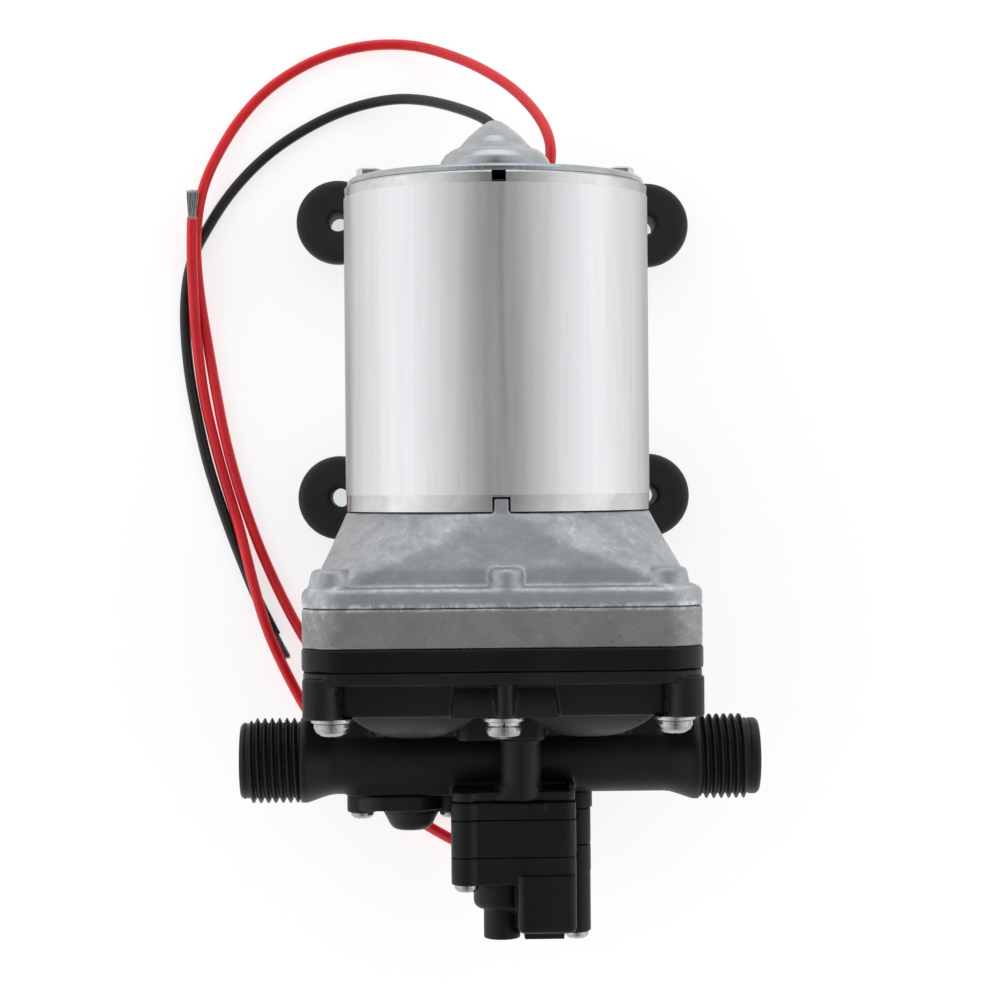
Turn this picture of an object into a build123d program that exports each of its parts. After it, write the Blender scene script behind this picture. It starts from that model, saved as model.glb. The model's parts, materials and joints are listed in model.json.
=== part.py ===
from build123d import *
import math
import os

os.makedirs("parts", exist_ok=True)

# ------------------------------------------------------------------ driving dimensions (mm)
# Frame: +Z away from the mounting surface, +Y towards the motor's rear, +X to the right.
# Origin: centre of the four mounting holes, on the plane of the feet's undersides.
AX = 58.0            # height of the motor axis

CAN_R = 36.8         # motor can, outside
CAN_RI = 34.6
CAN_Y0 = -38.9       # front rim
CAN_Y1 = 39.95       # rear rim
LABEL_Y0, LABEL_Y1 = -34.7, 37.2
PLATE_Y = 41.75      # rear face of the end bell's plate

BOLT_X = 30.7        # motor through bolts
SHAFT_R = 4.0
GROMMET_A = (13.8, -22.0)   # red lead's hole, x and height from the axis
GROMMET_K = (2.2, -24.0)    # black lead's hole

FLANGE = 92.0        # square flange of the drive housing
FLANGE_R = 9.5
HOUSING_Y = -60.25   # drive housing to diaphragm plate
PLATE2_Y = -69.35    # diaphragm plate to valve housing
VALVE_Y = -76.1      # valve housing to pump head
SKIRT_Y = -74.75     # upper rim of the head's skirt
SEAT_Y = -85.4       # seats of the head screws
SCREW_P = 39.2       # head screws, from the centre lines
CH = 21.0            # chamber centres, from the centre lines
CH_R = 19.3          # chamber radius
TILT = 3.5           # swash angle, degrees
SWASH_Y = -56.0      # centre of the nutation

TUBE_Y = -99.1       # manifold tube axis
TUBE_R = 8.35
PORT_L, PORT_R = 63.3, 62.5   # end faces of the inlet and outlet ports
CREST_R, ROOT_R, PITCH = 10.3, 9.15, 1.814
BORE_R = 6.35

SW = (0.0, 8.5)      # pressure switch axis: x, height from the motor axis
LEAD_R = 1.4
FOOT_X, FOOT_Y = 40.35, 35.6
FOOT_R = 10.9

SPIN = Axis((0, 0, AX), (0, 1, 0))
PRO = Plane.XY.offset(AX)            # radial profiles: x = radius, y = along the motor axis
SCREWS = [(-SCREW_P, SCREW_P), (0, SCREW_P), (SCREW_P, SCREW_P),
          (-SCREW_P, -SCREW_P), (0, -SCREW_P), (SCREW_P, -SCREW_P)]
CORNERS = [(CH, CH), (-CH, CH), (CH, -CH), (-CH, -CH)]


def down(y):
    """Plane square to the motor axis, seen from the rear: x = X, y = height from the axis, extrusions go to the head."""
    return Plane(origin=(0, y, AX), x_dir=(1, 0, 0), z_dir=(0, -1, 0))


t = math.radians(TILT)


def swash(d, drop=0.0):
    """Plane square to the swash axis, d below the nutation centre, then moved drop along the motor axis."""
    return Plane(
        origin=(-math.sin(t) * d, SWASH_Y - math.cos(t) * d - drop, AX),
        x_dir=(math.cos(t), -math.sin(t), 0),
        z_dir=(-math.sin(t), -math.cos(t), 0),
    )


def outline(*points):
    with BuildLine() as edge:
        Polyline(*points, close=True)
    make_face(edge.edges())


def write(piece, name):
    piece.part.label = name
    export_step(piece.part, f"parts/{name}.step")


# ------------------------------------------------------------------ motor shell
with BuildPart() as motor_can:
    with BuildSketch(PRO):
        outline((CAN_RI, CAN_Y0), (CAN_R, CAN_Y0 + 0.3), (CAN_R, CAN_Y1 - 0.4), (CAN_R - 0.4, CAN_Y1), (CAN_RI, CAN_Y1))
    revolve(axis=SPIN)
    # slots in both rims, at the top and the bottom of the can
    with BuildSketch(down(CAN_Y1 + 1)):
        with Locations((0, 36), (0, -36)):
            Rectangle(3.3, 8)
    extrude(amount=3.7, mode=Mode.SUBTRACT)
    with BuildSketch(down(-35.2)):
        with Locations((0, 36), (0, -36)):
            Rectangle(4.2, 8)
    extrude(amount=6, mode=Mode.SUBTRACT)
write(motor_can, "motor_can")

# foil label, open under the motor
with BuildPart() as rating_label:
    with BuildSketch(PRO):
        outline((CAN_R + 0.01, LABEL_Y0), (CAN_R + 0.16, LABEL_Y0), (CAN_R + 0.16, LABEL_Y1), (CAN_R + 0.01, LABEL_Y1))
    revolve(axis=SPIN)
    with BuildSketch(down(50)):
        with Locations((0, -32)):
            Rectangle(40, 20)
    extrude(amount=100, mode=Mode.SUBTRACT)
write(rating_label, "rating_label")

# rear end bell: a pressed plate with the domed bearing cap
with BuildPart() as rear_end_bell:
    with BuildSketch(PRO):
        outline((0, 56.55), (1.5, 56.2), (3.65, 54.7), (6.7, 52.1), (8.2, 50.3), (9.2, 49.4), (10.6, 48.9), (12.2, 47.8), (13.2, 46.4), (13.7, 44.9),
                (14.0, 43.1), (14.6, 42.15), (15.9, PLATE_Y), (35.4, PLATE_Y), (36.1, 41.05), (36.1, CAN_Y1), (34.5, CAN_Y1), (34.5, 38.4), (33.7, 38.4),
                (33.7, 39.6), (12.3, 39.6), (12.1, 45.2), (8.4, 47.4), (5.2, 51.2), (1.0, 54.4), (0, 54.4))
    revolve(axis=SPIN)
    with BuildSketch(down(46)):
        with Locations((BOLT_X, 0), (-BOLT_X, 0)):
            Circle(1.9)
        with Locations(GROMMET_A, GROMMET_K):
            Circle(2.65)
    extrude(amount=10, mode=Mode.SUBTRACT)
    # the spigot is interrupted at the can's slots
    with BuildSketch(down(CAN_Y1 - 0.02)):
        with Locations((0, 34.6), (0, -34.6)):
            Rectangle(3.3, 3.2)
    extrude(amount=3, mode=Mode.SUBTRACT)
write(rear_end_bell, "rear_end_bell")

with BuildPart() as rear_bush:
    with BuildSketch(PRO):
        outline((4.03, 40.6), (6.4, 40.6), (7.0, 42.5), (7.0, 45.6), (6.4, 47.4), (4.03, 47.4))
    revolve(axis=SPIN)
write(rear_bush, "rear_bush")

with BuildPart() as bush_retainer:
    with BuildSketch(PRO):
        outline((7.05, 42.6), (11.9, 40.2), (12.05, 41.2), (7.05, 45.2))
    revolve(axis=SPIN)
write(bush_retainer, "bush_retainer")

with BuildPart() as field_magnets:
    with BuildSketch(down(26)):
        Circle(34.3)
        Circle(29.5, mode=Mode.SUBTRACT)
        Rectangle(80, 24, mode=Mode.SUBTRACT)
    extrude(amount=52)
write(field_magnets, "field_magnets")

with BuildPart() as brush_card:
    with BuildSketch(down(38.2)):
        Circle(32.9)
        Circle(12.5, mode=Mode.SUBTRACT)
        with Locations((BOLT_X, 0), (-BOLT_X, 0)):
            Circle(3.0, mode=Mode.SUBTRACT)
    extrude(amount=2.0)
write(brush_card, "brush_card")

# brass boxes that guide the brushes, one above and one below the commutator
with BuildPart() as brush_holders:
    for s in (1, -1):
        with BuildSketch(Plane(origin=(0, 32.1, AX + 13.2 * s), x_dir=(1, 0, 0), z_dir=(0, 0, s))):
            Rectangle(8.0, 8.0)
            Rectangle(6.4, 6.4, mode=Mode.SUBTRACT)
        extrude(amount=14.8)
        with BuildSketch(Plane(origin=(0, 32.1, AX + 27.2 * s), x_dir=(1, 0, 0), z_dir=(0, 0, s))):
            Rectangle(6.6, 6.6)
        extrude(amount=0.8)
write(brush_holders, "brush_holders")

for name, s in (("brush_upper", 1), ("brush_lower", -1)):
    with BuildPart() as brush:
        with BuildSketch(Plane(origin=(0, 32.1, AX + 8.0 * s), x_dir=(1, 0, 0), z_dir=(0, 0, s))):
            Rectangle(6.0, 6.0)
        extrude(amount=13.0)
        with BuildSketch(down(40)):
            Circle(10.05)
        extrude(amount=20, mode=Mode.SUBTRACT)
    write(brush, name)

for name, s in (("brush_spring_upper", 1), ("brush_spring_lower", -1)):
    with BuildPart() as spring:
        for i in range(5):
            with BuildSketch(Plane(origin=(0, 32.1, AX + (21.3 + 1.25 * i) * s), x_dir=(1, 0, 0), z_dir=(0, 0, s))):
                Circle(2.6)
                Circle(2.0, mode=Mode.SUBTRACT)
            extrude(amount=0.75)
        # the coils' links, one after the other round the spring
        for i in range(4):
            with BuildSketch(Plane(origin=(0, 32.1, AX + (21.3 + 1.25 * i) * s), x_dir=(1, 0, 0), z_dir=(0, 0, s))):
                with Locations((2.3 if i % 2 else -2.3, 0)):
                    Rectangle(0.5, 0.8)
            extrude(amount=1.5)
    write(spring, name)

# rubber grommets for the two leads, each with a short tapered sleeve
with BuildPart() as lead_grommets:
    for x, h in (GROMMET_A, GROMMET_K):
        with BuildSketch(Plane(origin=(x, 0, AX + h), x_dir=(1, 0, 0), z_dir=(0, 0, 1))):
            outline((0, 38.6), (3.4, 38.6), (3.4, 39.55), (2.6, 39.55), (2.6, PLATE_Y + 0.05), (4.0, PLATE_Y + 0.05), (4.0, 42.4),
                    (3.5, 42.9), (2.6, 43.0), (2.0, 45.0), (0, 45.0))
        revolve(axis=Axis((x, 0, AX + h), (0, 1, 0)))
write(lead_grommets, "lead_grommets")

with BuildPart() as through_bolts:
    with BuildSketch(down(PLATE_Y + 3.0)):
        with Locations((BOLT_X, 0), (-BOLT_X, 0)):
            RegularPolygon(2.75, 6, major_radius=False)
    extrude(amount=2.5)
    with BuildSketch(down(PLATE_Y + 0.6)):
        with Locations((BOLT_X, 0), (-BOLT_X, 0)):
            Circle(3.4)
    extrude(amount=0.58)
    with BuildSketch(down(PLATE_Y + 0.5)):
        with Locations((BOLT_X, 0), (-BOLT_X, 0)):
            Circle(1.65)
    extrude(amount=PLATE_Y + 0.5 + 44.6)
    tops = through_bolts.edges().filter_by_position(Axis.Y, PLATE_Y + 2.9, PLATE_Y + 3.1)
    chamfer(tops, 0.4)
write(through_bolts, "through_bolts")

# ------------------------------------------------------------------ armature
with BuildPart() as armature_shaft:
    with BuildSketch(PRO):
        outline((0, -60.6), (3.5, -60.6), (SHAFT_R, -60.1), (SHAFT_R, 48.8), (3.4, 49.4), (0, 49.4))
    revolve(axis=SPIN)
write(armature_shaft, "armature_shaft")

with BuildPart() as armature_stack:
    with BuildSketch(down(18)):
        Circle(28.7)
        Circle(SHAFT_R + 0.01, mode=Mode.SUBTRACT)
        with PolarLocations(20.5, 12):
            SlotOverall(12, 4.4, mode=Mode.SUBTRACT)
        with PolarLocations(28.0, 12):
            Rectangle(5, 1.6, mode=Mode.SUBTRACT)
    extrude(amount=40)
write(armature_stack, "armature_stack")

with BuildPart() as armature_winding:
    for y0, y1 in ((18.1, 24.6), (-28.6, -22.1)):
        with BuildSketch(PRO):
            outline((6.0, y0 + 0.4), (24.5, y0), (26.4, y0 + 1.2), (26.4, y1 - 1.8), (22.5, y1), (10.0, y1), (6.0, y1 - 2.0))
        revolve(axis=SPIN)
    with BuildSketch(down(18.6)):
        with PolarLocations(20.5, 12):
            SlotOverall(11, 3.6)
    extrude(amount=41.2)
write(armature_winding, "armature_winding")

with BuildPart() as commutator:
    with BuildSketch(PRO):
        outline((SHAFT_R + 0.01, 25.2), (11.6, 25.2), (11.6, 27.0), (10.0, 27.6), (10.0, 37.2), (9.4, 37.8), (SHAFT_R + 0.01, 37.8))
    revolve(axis=SPIN)
    with BuildSketch(down(38)):
        with PolarLocations(11.0, 12):
            Rectangle(3.6, 0.6)
    extrude(amount=12, mode=Mode.SUBTRACT)
write(commutator, "commutator")

# front bearing, 22 x 8 x 7
with BuildPart() as front_bearing:
    with BuildSketch(PRO):
        outline((9.0, -49.5), (10.98, -49.5), (10.98, -42.5), (9.0, -42.5))
        with Locations((7.55, -46.0)):
            Circle(2.05, mode=Mode.SUBTRACT)
    revolve(axis=SPIN)
    for i in range(8):
        a = math.radians(45 * i)
        with Locations((7.55 * math.cos(a), -46.0, AX + 7.55 * math.sin(a))):
            Sphere(1.98)
write(front_bearing, "front_bearing")

with BuildPart() as front_bearing_inner:
    with BuildSketch(PRO):
        outline((SHAFT_R + 0.01, -49.5), (6.3, -49.5), (6.3, -42.5), (SHAFT_R + 0.01, -42.5))
        with Locations((7.55, -46.0)):
            Circle(2.05, mode=Mode.SUBTRACT)
    revolve(axis=SPIN)
write(front_bearing_inner, "front_bearing_inner")

# ------------------------------------------------------------------ swash drive
tilt_axis = Axis(swash(0).origin, swash(0).z_dir)

with BuildPart() as swash_hub:
    with BuildSketch(swash(-3.8)):
        Circle(8.8)
    extrude(amount=1.2)
    with BuildSketch(swash(-2.7)):
        Circle(7.48)
    extrude(amount=6.5)
    with BuildSketch(down(-50)):
        Circle(SHAFT_R + 0.01)
    extrude(amount=14, mode=Mode.SUBTRACT)
write(swash_hub, "swash_hub")


RING = Plane(origin=swash(0).origin, x_dir=swash(0).x_dir, z_dir=(0, 0, -1))   # profiles round the swash axis
with BuildPart() as swash_bearing_inner:
    with BuildSketch(RING):
        outline((7.5, -2.5), (9.0, -2.5), (9.0, 2.5), (7.5, 2.5))
        with Locations((9.75, 0)):
            Circle(1.32, mode=Mode.SUBTRACT)
    revolve(axis=tilt_axis)
write(swash_bearing_inner, "swash_bearing_inner")

with BuildPart() as swash_bearing:
    with BuildSketch(RING):
        outline((10.5, -2.5), (11.98, -2.5), (11.98, 2.5), (10.5, 2.5))
        with Locations((9.75, 0)):
            Circle(1.32, mode=Mode.SUBTRACT)
    revolve(axis=tilt_axis)
    for i in range(10):
        a = math.radians(36 * i)
        with Locations(swash(0).from_local_coords((9.75 * math.cos(a), 9.75 * math.sin(a), 0))):
            Sphere(1.26)
write(swash_bearing, "swash_bearing")

with BuildPart() as wobble_plate:
    with BuildSketch(swash(-2.5)):
        Circle(15.4)
        Circle(12.0, mode=Mode.SUBTRACT)
    extrude(amount=5.6)
    with BuildSketch(swash(3.0)):
        RectangleRounded(2 * CH + 24, 2 * CH + 24, 11.9)
        Circle(9.0, mode=Mode.SUBTRACT)
        with Locations((36, 0), (-36, 0), (0, 36), (0, -36)):
            Circle(13.5, mode=Mode.SUBTRACT)
    extrude(amount=3.2)
    with BuildSketch(swash(6.1)):
        with Locations(*CORNERS):
            Circle(11.9)
    extrude(amount=3.9)
    with BuildSketch(swash(2.5)):
        with Locations(*CORNERS):
            Circle(2.05)
    extrude(amount=8, mode=Mode.SUBTRACT)
write(wobble_plate, "wobble_plate")

with BuildPart() as pistons:
    with BuildSketch(swash(11.2)):
        with Locations(*CORNERS):
            Circle(10.5)
    extrude(amount=2.3)
    fillet(pistons.faces().sort_by(Axis(swash(0).origin, swash(0).z_dir))[-4:].edges(), 0.8)
    with BuildSketch(swash(11.0)):
        with Locations(*CORNERS):
            Circle(2.05)
    extrude(amount=3, mode=Mode.SUBTRACT)
write(pistons, "pistons")

with BuildPart() as piston_screws:
    with BuildSketch(swash(13.52)):
        with Locations(*CORNERS):
            Circle(3.6)
    extrude(amount=1.5)
    with BuildSketch(swash(2.2)):
        with Locations(*CORNERS):
            Circle(1.98)
    extrude(amount=11.4)
write(piston_screws, "piston_screws")

# ------------------------------------------------------------------ drive housing (die-cast)
with BuildPart() as drive_housing:
    with BuildSketch(down(-55.6)):
        RectangleRounded(FLANGE, FLANGE, FLANGE_R)
    extrude(amount=-HOUSING_Y - 55.6)
    fillet(drive_housing.edges().filter_by_position(Axis.Y, -55.61, -55.59), 1.9)
    # tapered bosses over the corner screws, straight ones over the centre screws
    for x, h in ((37.7, 39.2), (-39.2, 39.2), (37.7, -39.2), (-39.2, -39.2)):
        with BuildSketch(down(-51.3)):
            with Locations((x, h)):
                Circle(4.4)
        with BuildSketch(down(-56.4)):
            with Locations((x, h)):
                Circle(5.4)
        loft(ruled=True)
    with BuildSketch(down(-51.3)):
        with Locations((0.8, 41.6), (0.8, -41.6)):
            Circle(4.1)
    extrude(amount=5)
    fillet(drive_housing.edges().filter_by_position(Axis.Y, -51.31, -51.29), 1.6)
    with BuildSketch(down(CAN_Y0)):
        RectangleRounded(73.5, 73.5, 36.7)
    with BuildSketch(down(-45.8)):
        RectangleRounded(79.0, 79.0, 27)
    loft(ruled=True)
    with BuildSketch(down(-45.8)):
        RectangleRounded(79.0, 79.0, 27)
    with BuildSketch(down(-51.6)):
        RectangleRounded(83.8, 83.8, 14)
    loft(ruled=True)
    with BuildSketch(down(-51.6)):
        RectangleRounded(83.8, 83.8, 14)
    with BuildSketch(down(-56.2)):
        RectangleRounded(85.4, 85.4, 8)
    loft(ruled=True)
    # register that centres the can, with a tab in each rim slot
    with BuildSketch(down(-35.6)):
        Circle(34.5)
        Circle(30.6, mode=Mode.SUBTRACT)
        with Locations((0, 34.8), (0, -34.8)):
            Rectangle(3.4, 3.9)
    extrude(amount=3.4)
    # inside
    with BuildSketch(down(-34)):
        Circle(7.2)
        with Locations((BOLT_X, 0), (-BOLT_X, 0)):
            Circle(1.7)
    extrude(amount=11.5, mode=Mode.SUBTRACT)
    with BuildSketch(down(-42.5)):
        Circle(11.0)
    extrude(amount=8, mode=Mode.SUBTRACT)
    with BuildSketch(down(-45.5)):
        Circle(33.8)
        Circle(14.6, mode=Mode.SUBTRACT)
    extrude(amount=8.1, mode=Mode.SUBTRACT)
    with BuildSketch(down(-50.2)):
        Circle(15)
    extrude(amount=3.4, mode=Mode.SUBTRACT)
    with BuildSketch(down(-53.5)):
        RectangleRounded(78, 78, 17)
        with Locations((0, 40.4), (0, -40.4)):
            Circle(4.6, mode=Mode.SUBTRACT)
    extrude(amount=6.8, mode=Mode.SUBTRACT)
    with BuildSketch(down(-53.0)):
        with Locations(*SCREWS):
            Circle(2.05)
    extrude(amount=8, mode=Mode.SUBTRACT)
write(drive_housing, "drive_housing")

# ------------------------------------------------------------------ diaphragm plate (die-cast)
with BuildPart() as diaphragm_plate:
    with BuildSketch(down(HOUSING_Y)):
        RectangleRounded(FLANGE, FLANGE, FLANGE_R)
    extrude(amount=HOUSING_Y - PLATE2_Y)
    chamfer(diaphragm_plate.edges().filter_by_position(Axis.Y, HOUSING_Y - 0.01, HOUSING_Y + 0.01), 0.35)
    with BuildSketch(down(HOUSING_Y)):
        RectangleRounded(78, 78, 17)
        with Locations((0, 40.4), (0, -40.4)):
            Circle(4.6, mode=Mode.SUBTRACT)
    extrude(amount=5.1, mode=Mode.SUBTRACT)
    with BuildSketch(down(-65)):
        with Locations(*CORNERS):
            Circle(CH_R)
    extrude(amount=5, mode=Mode.SUBTRACT)
    with BuildSketch(down(-68.15)):
        RectangleRounded(85, 85, 7)
    extrude(amount=2, mode=Mode.SUBTRACT)
    with BuildSketch(down(-59)):
        with Locations(*SCREWS):
            Circle(2.35)
    extrude(amount=12, mode=Mode.SUBTRACT)
write(diaphragm_plate, "diaphragm_plate")

# rubber diaphragm: a flat rim with four raised caps that tilt with the wobble plate
with BuildPart() as diaphragm:
    with BuildSketch(down(-68.15)):
        RectangleRounded(84.4, 84.4, 6.7)
    extrude(amount=1.2)
    for x, h in CORNERS:
        with BuildSketch(down(-68.15)):
            with Locations((x, h)):
                Circle(18.8)
        with BuildSketch(swash(10.0)):
            with Locations((x, h)):
                Circle(12.2)
        loft()
    for x, h in CORNERS:
        with BuildSketch(down(-69.35)):
            with Locations((x, h)):
                Circle(18.8)
        with BuildSketch(swash(10.0, 1.2)):
            with Locations((x, h)):
                Circle(12.2)
        loft(mode=Mode.SUBTRACT)
    with BuildSketch(swash(8.0)):
        with Locations(*CORNERS):
            Circle(2.1)
    extrude(amount=8, mode=Mode.SUBTRACT)
    with BuildSketch(down(-67)):
        with Locations(*SCREWS):
            Circle(2.45)
    extrude(amount=4, mode=Mode.SUBTRACT)
write(diaphragm, "diaphragm")

# ------------------------------------------------------------------ valve housing (black plastic)
INLET = [(28, 28), (-28, 28), (28, -28), (-28, -28)]
with BuildPart() as valve_housing:
    with BuildSketch(down(PLATE2_Y)):
        RectangleRounded(92.3, 92.3, FLANGE_R)
    extrude(amount=PLATE2_Y - VALVE_Y)
    # rebate for the head's skirt
    with BuildSketch(down(SKIRT_Y)):
        RectangleRounded(94, 94, 9.5)
        RectangleRounded(88.2, 88.2, 7.5, mode=Mode.SUBTRACT)
    extrude(amount=2, mode=Mode.SUBTRACT)
    with BuildSketch(down(PLATE2_Y)):
        with Locations(*CORNERS):
            Circle(CH_R)
    extrude(amount=4.65, mode=Mode.SUBTRACT)
    with BuildSketch(down(-73)):
        with Locations(*SCREWS):
            Circle(2.35)
        for x, h in INLET:
            a0 = math.degrees(math.atan2(h, x)) + 180
            for k in range(3):
                a = math.radians(a0 + 120 * k)
                with Locations((x + 2.7 * math.cos(a), h + 2.7 * math.sin(a))):
                    Circle(1.2)
            with Locations((x, h)):
                Circle(0.9)
        with Locations((9, 9), (-9, 9), (9, -9), (-9, -9)):
            Circle(1.6)
        Circle(1.7)
    extrude(amount=5, mode=Mode.SUBTRACT)
    with BuildSketch(down(-68)):
        with Locations(*SCREWS):
            Circle(2.35)
    extrude(amount=10, mode=Mode.SUBTRACT)
    with BuildSketch(down(-75.3)):
        RectangleRounded(73.2, 73.2, 11.6)
        RectangleRounded(69.8, 69.8, 9.9, mode=Mode.SUBTRACT)
        Circle(17.8)
        Circle(16.0, mode=Mode.SUBTRACT)
    extrude(amount=2, mode=Mode.SUBTRACT)
write(valve_housing, "valve_housing")

with BuildPart() as head_seal:
    with BuildSketch(down(-75.32)):
        RectangleRounded(73.0, 73.0, 11.5)
        RectangleRounded(70.0, 70.0, 10.0, mode=Mode.SUBTRACT)
        Circle(17.7)
        Circle(16.1, mode=Mode.SUBTRACT)
    extrude(amount=0.76)
write(head_seal, "head_seal")

with BuildPart() as inlet_valves:
    with BuildSketch(down(-72.9)):
        with Locations(*INLET):
            Circle(4.4)
    extrude(amount=1.08)
    with BuildSketch(down(-73.5)):
        with Locations(*INLET):
            Circle(0.85)
    extrude(amount=2.9)
    with BuildSketch(down(-76.4)):
        with Locations(*INLET):
            Circle(1.4)
    extrude(amount=0.8)
write(inlet_valves, "inlet_valves")

with BuildPart() as outlet_valve:
    with BuildSketch(down(-76.12)):
        Circle(14.4)
        for a in (0, 90, 180, 270):
            with Locations((13 * math.cos(math.radians(a)), 13 * math.sin(math.radians(a)))):
                Circle(2.6, mode=Mode.SUBTRACT)
    extrude(amount=1.0)
    with BuildSketch(down(-73.6)):
        Circle(1.62)
    extrude(amount=4)
write(outlet_valve, "outlet_valve")

# ------------------------------------------------------------------ pump head with manifold and ports
SPLIT_X = 45.9
VAULT_R, VAULT_C, VAULT_Y = 20.2, 20.5, 71.7     # the vaults' radius, their centres from the centre line and below the origin

# four vaults over the chambers, flush with the head's straight sides
with BuildPart() as vaults:
    with BuildSketch(Plane.XY.offset(AX - 39.5)):
        with Locations((0, (VALVE_Y + SEAT_Y) / 2)):
            Rectangle(79, VALVE_Y - SEAT_Y)
        with Locations((VAULT_C, -VAULT_Y), (-VAULT_C, -VAULT_Y)):
            Circle(VAULT_R)
        with Locations((0, VALVE_Y + 20)):
            Rectangle(100, 40, mode=Mode.SUBTRACT)
    extrude(amount=79)
    with BuildSketch(Plane(origin=(-45, 0, AX), x_dir=(0, 0, 1), z_dir=(1, 0, 0))):
        with Locations((0, -(VALVE_Y + SEAT_Y) / 2)):
            Rectangle(79, VALVE_Y - SEAT_Y)
        with Locations((VAULT_C, VAULT_Y), (-VAULT_C, VAULT_Y)):
            Circle(VAULT_R)
        with Locations((0, -VALVE_Y - 20)):
            Rectangle(100, 40, mode=Mode.SUBTRACT)
    extrude(amount=90, mode=Mode.INTERSECT)
    with BuildSketch(down(-70)):
        RectangleRounded(78.96, 78.96, 1.0)
    extrude(amount=40, mode=Mode.INTERSECT)

with BuildPart() as pump_head:
    # flange
    with BuildSketch(down(VALVE_Y)):
        RectangleRounded(91.6, 91.6, 9.2)
    extrude(amount=1.6)
    fillet(pump_head.edges().filter_by_position(Axis.Y, -77.71, -77.69), 0.5)
    # skirt round the valve housing's rim
    with BuildSketch(down(SKIRT_Y - 0.04)):
        RectangleRounded(91.6, 91.6, 9.2)
        RectangleRounded(88.6, 88.6, 7.7, mode=Mode.SUBTRACT)
    extrude(amount=1.6)
    add(vaults.part)
    with BuildSketch(down(VALVE_Y)):
        RectangleRounded(62, 26, 4)
    extrude(amount=VALVE_Y + 92.4)
    with BuildSketch(down(VALVE_Y)):
        RectangleRounded(21, 42, 3)
    extrude(amount=VALVE_Y + 92.8)
    # corner posts and the two centre blocks
    with BuildSketch(down(VALVE_Y)):
        for sx in (1, -1):
            for sz in (1, -1):
                with Locations((41.6 * sx, 41.6 * sz)):
                    RectangleRounded(8.4, 8.4, 3.9)
    extrude(amount=VALVE_Y - SEAT_Y)
    for s in (1, -1):
        with BuildSketch(down(VALVE_Y - 1)):
            with Locations((0.3, 36.3 * s)):
                Rectangle(22.3, 7.6)
        with BuildSketch(down(SEAT_Y)):
            with Locations((0.3, 38.0 * s)):
                Rectangle(24.8, 10.8)
        loft(ruled=True)
        with BuildSketch(down(VALVE_Y)):
            with Locations((0.3, 40.2 * s)):
                Rectangle(5.2, 4.2)
        extrude(amount=VALVE_Y - SEAT_Y)
    with BuildSketch(down(VALVE_Y)):
        with Locations((0.3, 42.9), (0.3, -42.9)):
            Circle(2.1)
    extrude(amount=VALVE_Y - SEAT_Y)
    # web down to the manifold
    with BuildSketch(down(-84)):
        RectangleRounded(80, 12, 2)
    extrude(amount=14)
    # manifold tube, flares and ports
    with BuildSketch(Plane.XY.offset(AX)):
        outline((-PORT_L, TUBE_Y), (-PORT_L, TUBE_Y + 8.5), (-PORT_L + 0.7, TUBE_Y + 9.2), (-62.0, TUBE_Y + 9.2), (-61.8, TUBE_Y + 9.0),
                (-48.5, TUBE_Y + 9.0), (-48.5, TUBE_Y + CREST_R), (-46.8, TUBE_Y + CREST_R), (-42, TUBE_Y + TUBE_R + 0.3), (-40, TUBE_Y + TUBE_R),
                (40, TUBE_Y + TUBE_R), (42, TUBE_Y + TUBE_R + 0.3), (46.8, TUBE_Y + CREST_R), (48.5, TUBE_Y + CREST_R), (48.5, TUBE_Y + 9.0),
                (60.2, TUBE_Y + 9.0), (60.4, TUBE_Y + 9.2), (PORT_R - 0.7, TUBE_Y + 9.2), (PORT_R, TUBE_Y + 8.5), (PORT_R, TUBE_Y))
    revolve(axis=Axis((0, TUBE_Y, AX), (1, 0, 0)))
    # threads
    for s, turns in ((1, 6), (-1, 7)):
        for k in range(turns):
            x = s * (49.9 + PITCH * k)
            with BuildSketch(Plane.XY.offset(AX)):
                outline((x - 0.85, TUBE_Y + 8.9), (x - 0.80, TUBE_Y + ROOT_R), (x - 0.22, TUBE_Y + CREST_R - 0.08), (x, TUBE_Y + CREST_R),
                        (x + 0.22, TUBE_Y + CREST_R - 0.08), (x + 0.80, TUBE_Y + ROOT_R), (x + 0.85, TUBE_Y + 8.9))
            revolve(axis=Axis((0, TUBE_Y, AX), (1, 0, 0)))
    # pad for the bypass valve, under the tube
    with BuildSketch(down(-99)):
        with Locations((-22.6, 0)):
            RectangleRounded(29.6, 12.8, 3)
    extrude(amount=8.5)
    # seat for the pressure switch: plate, left boss, sense column and right ear
    with BuildSketch(down(-105.12)):
        with Locations((2.75, 12.2)):
            RectangleRounded(29.3, 12.6, 2)
        with Locations((4.9, 0)):
            Rectangle(25, 16)
        with Locations((-8.5, 16.5)):
            Circle(3.4)
    extrude(amount=2.46)
    with BuildSketch(down(-97)):
        with Locations((4.0, 0)):
            Rectangle(18, 13)
    extrude(amount=9)
    with BuildSketch(down(-103.3)):
        with Locations((16.6, 12.0)):
            Rectangle(1.4, 11.6)
    extrude(amount=3)
    with BuildSketch(down(-91)):
        with Locations((4.6, 15.2)):
            Circle(4.85)
    extrude(amount=16.58)
    with BuildSketch(down(-102.8)):
        with Locations((4.6, 15.2)):
            Circle(4.85)
    with BuildSketch(down(-107.58)):
        with Locations((3.1, 13.9)):
            RectangleRounded(14.1, 11.4, 5.6)
    loft()
    with BuildSketch(down(-102.5)):
        with Locations((18.7, -5.0)):
            Circle(4.0)
        with Locations((15.5, -3)):
            Rectangle(6, 6)
    extrude(amount=5.08)
    # galleries: the inlet one runs round the outlet one
    with BuildSketch(down(VALVE_Y)):
        RectangleRounded(69, 69, 10)
        Circle(17.6, mode=Mode.SUBTRACT)
        Circle(15.0)
    extrude(amount=6.4, mode=Mode.SUBTRACT)
    # screw holes
    with BuildSketch(down(-70)):
        with Locations(*SCREWS):
            Circle(2.35)
    extrude(amount=17, mode=Mode.SUBTRACT)
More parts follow.
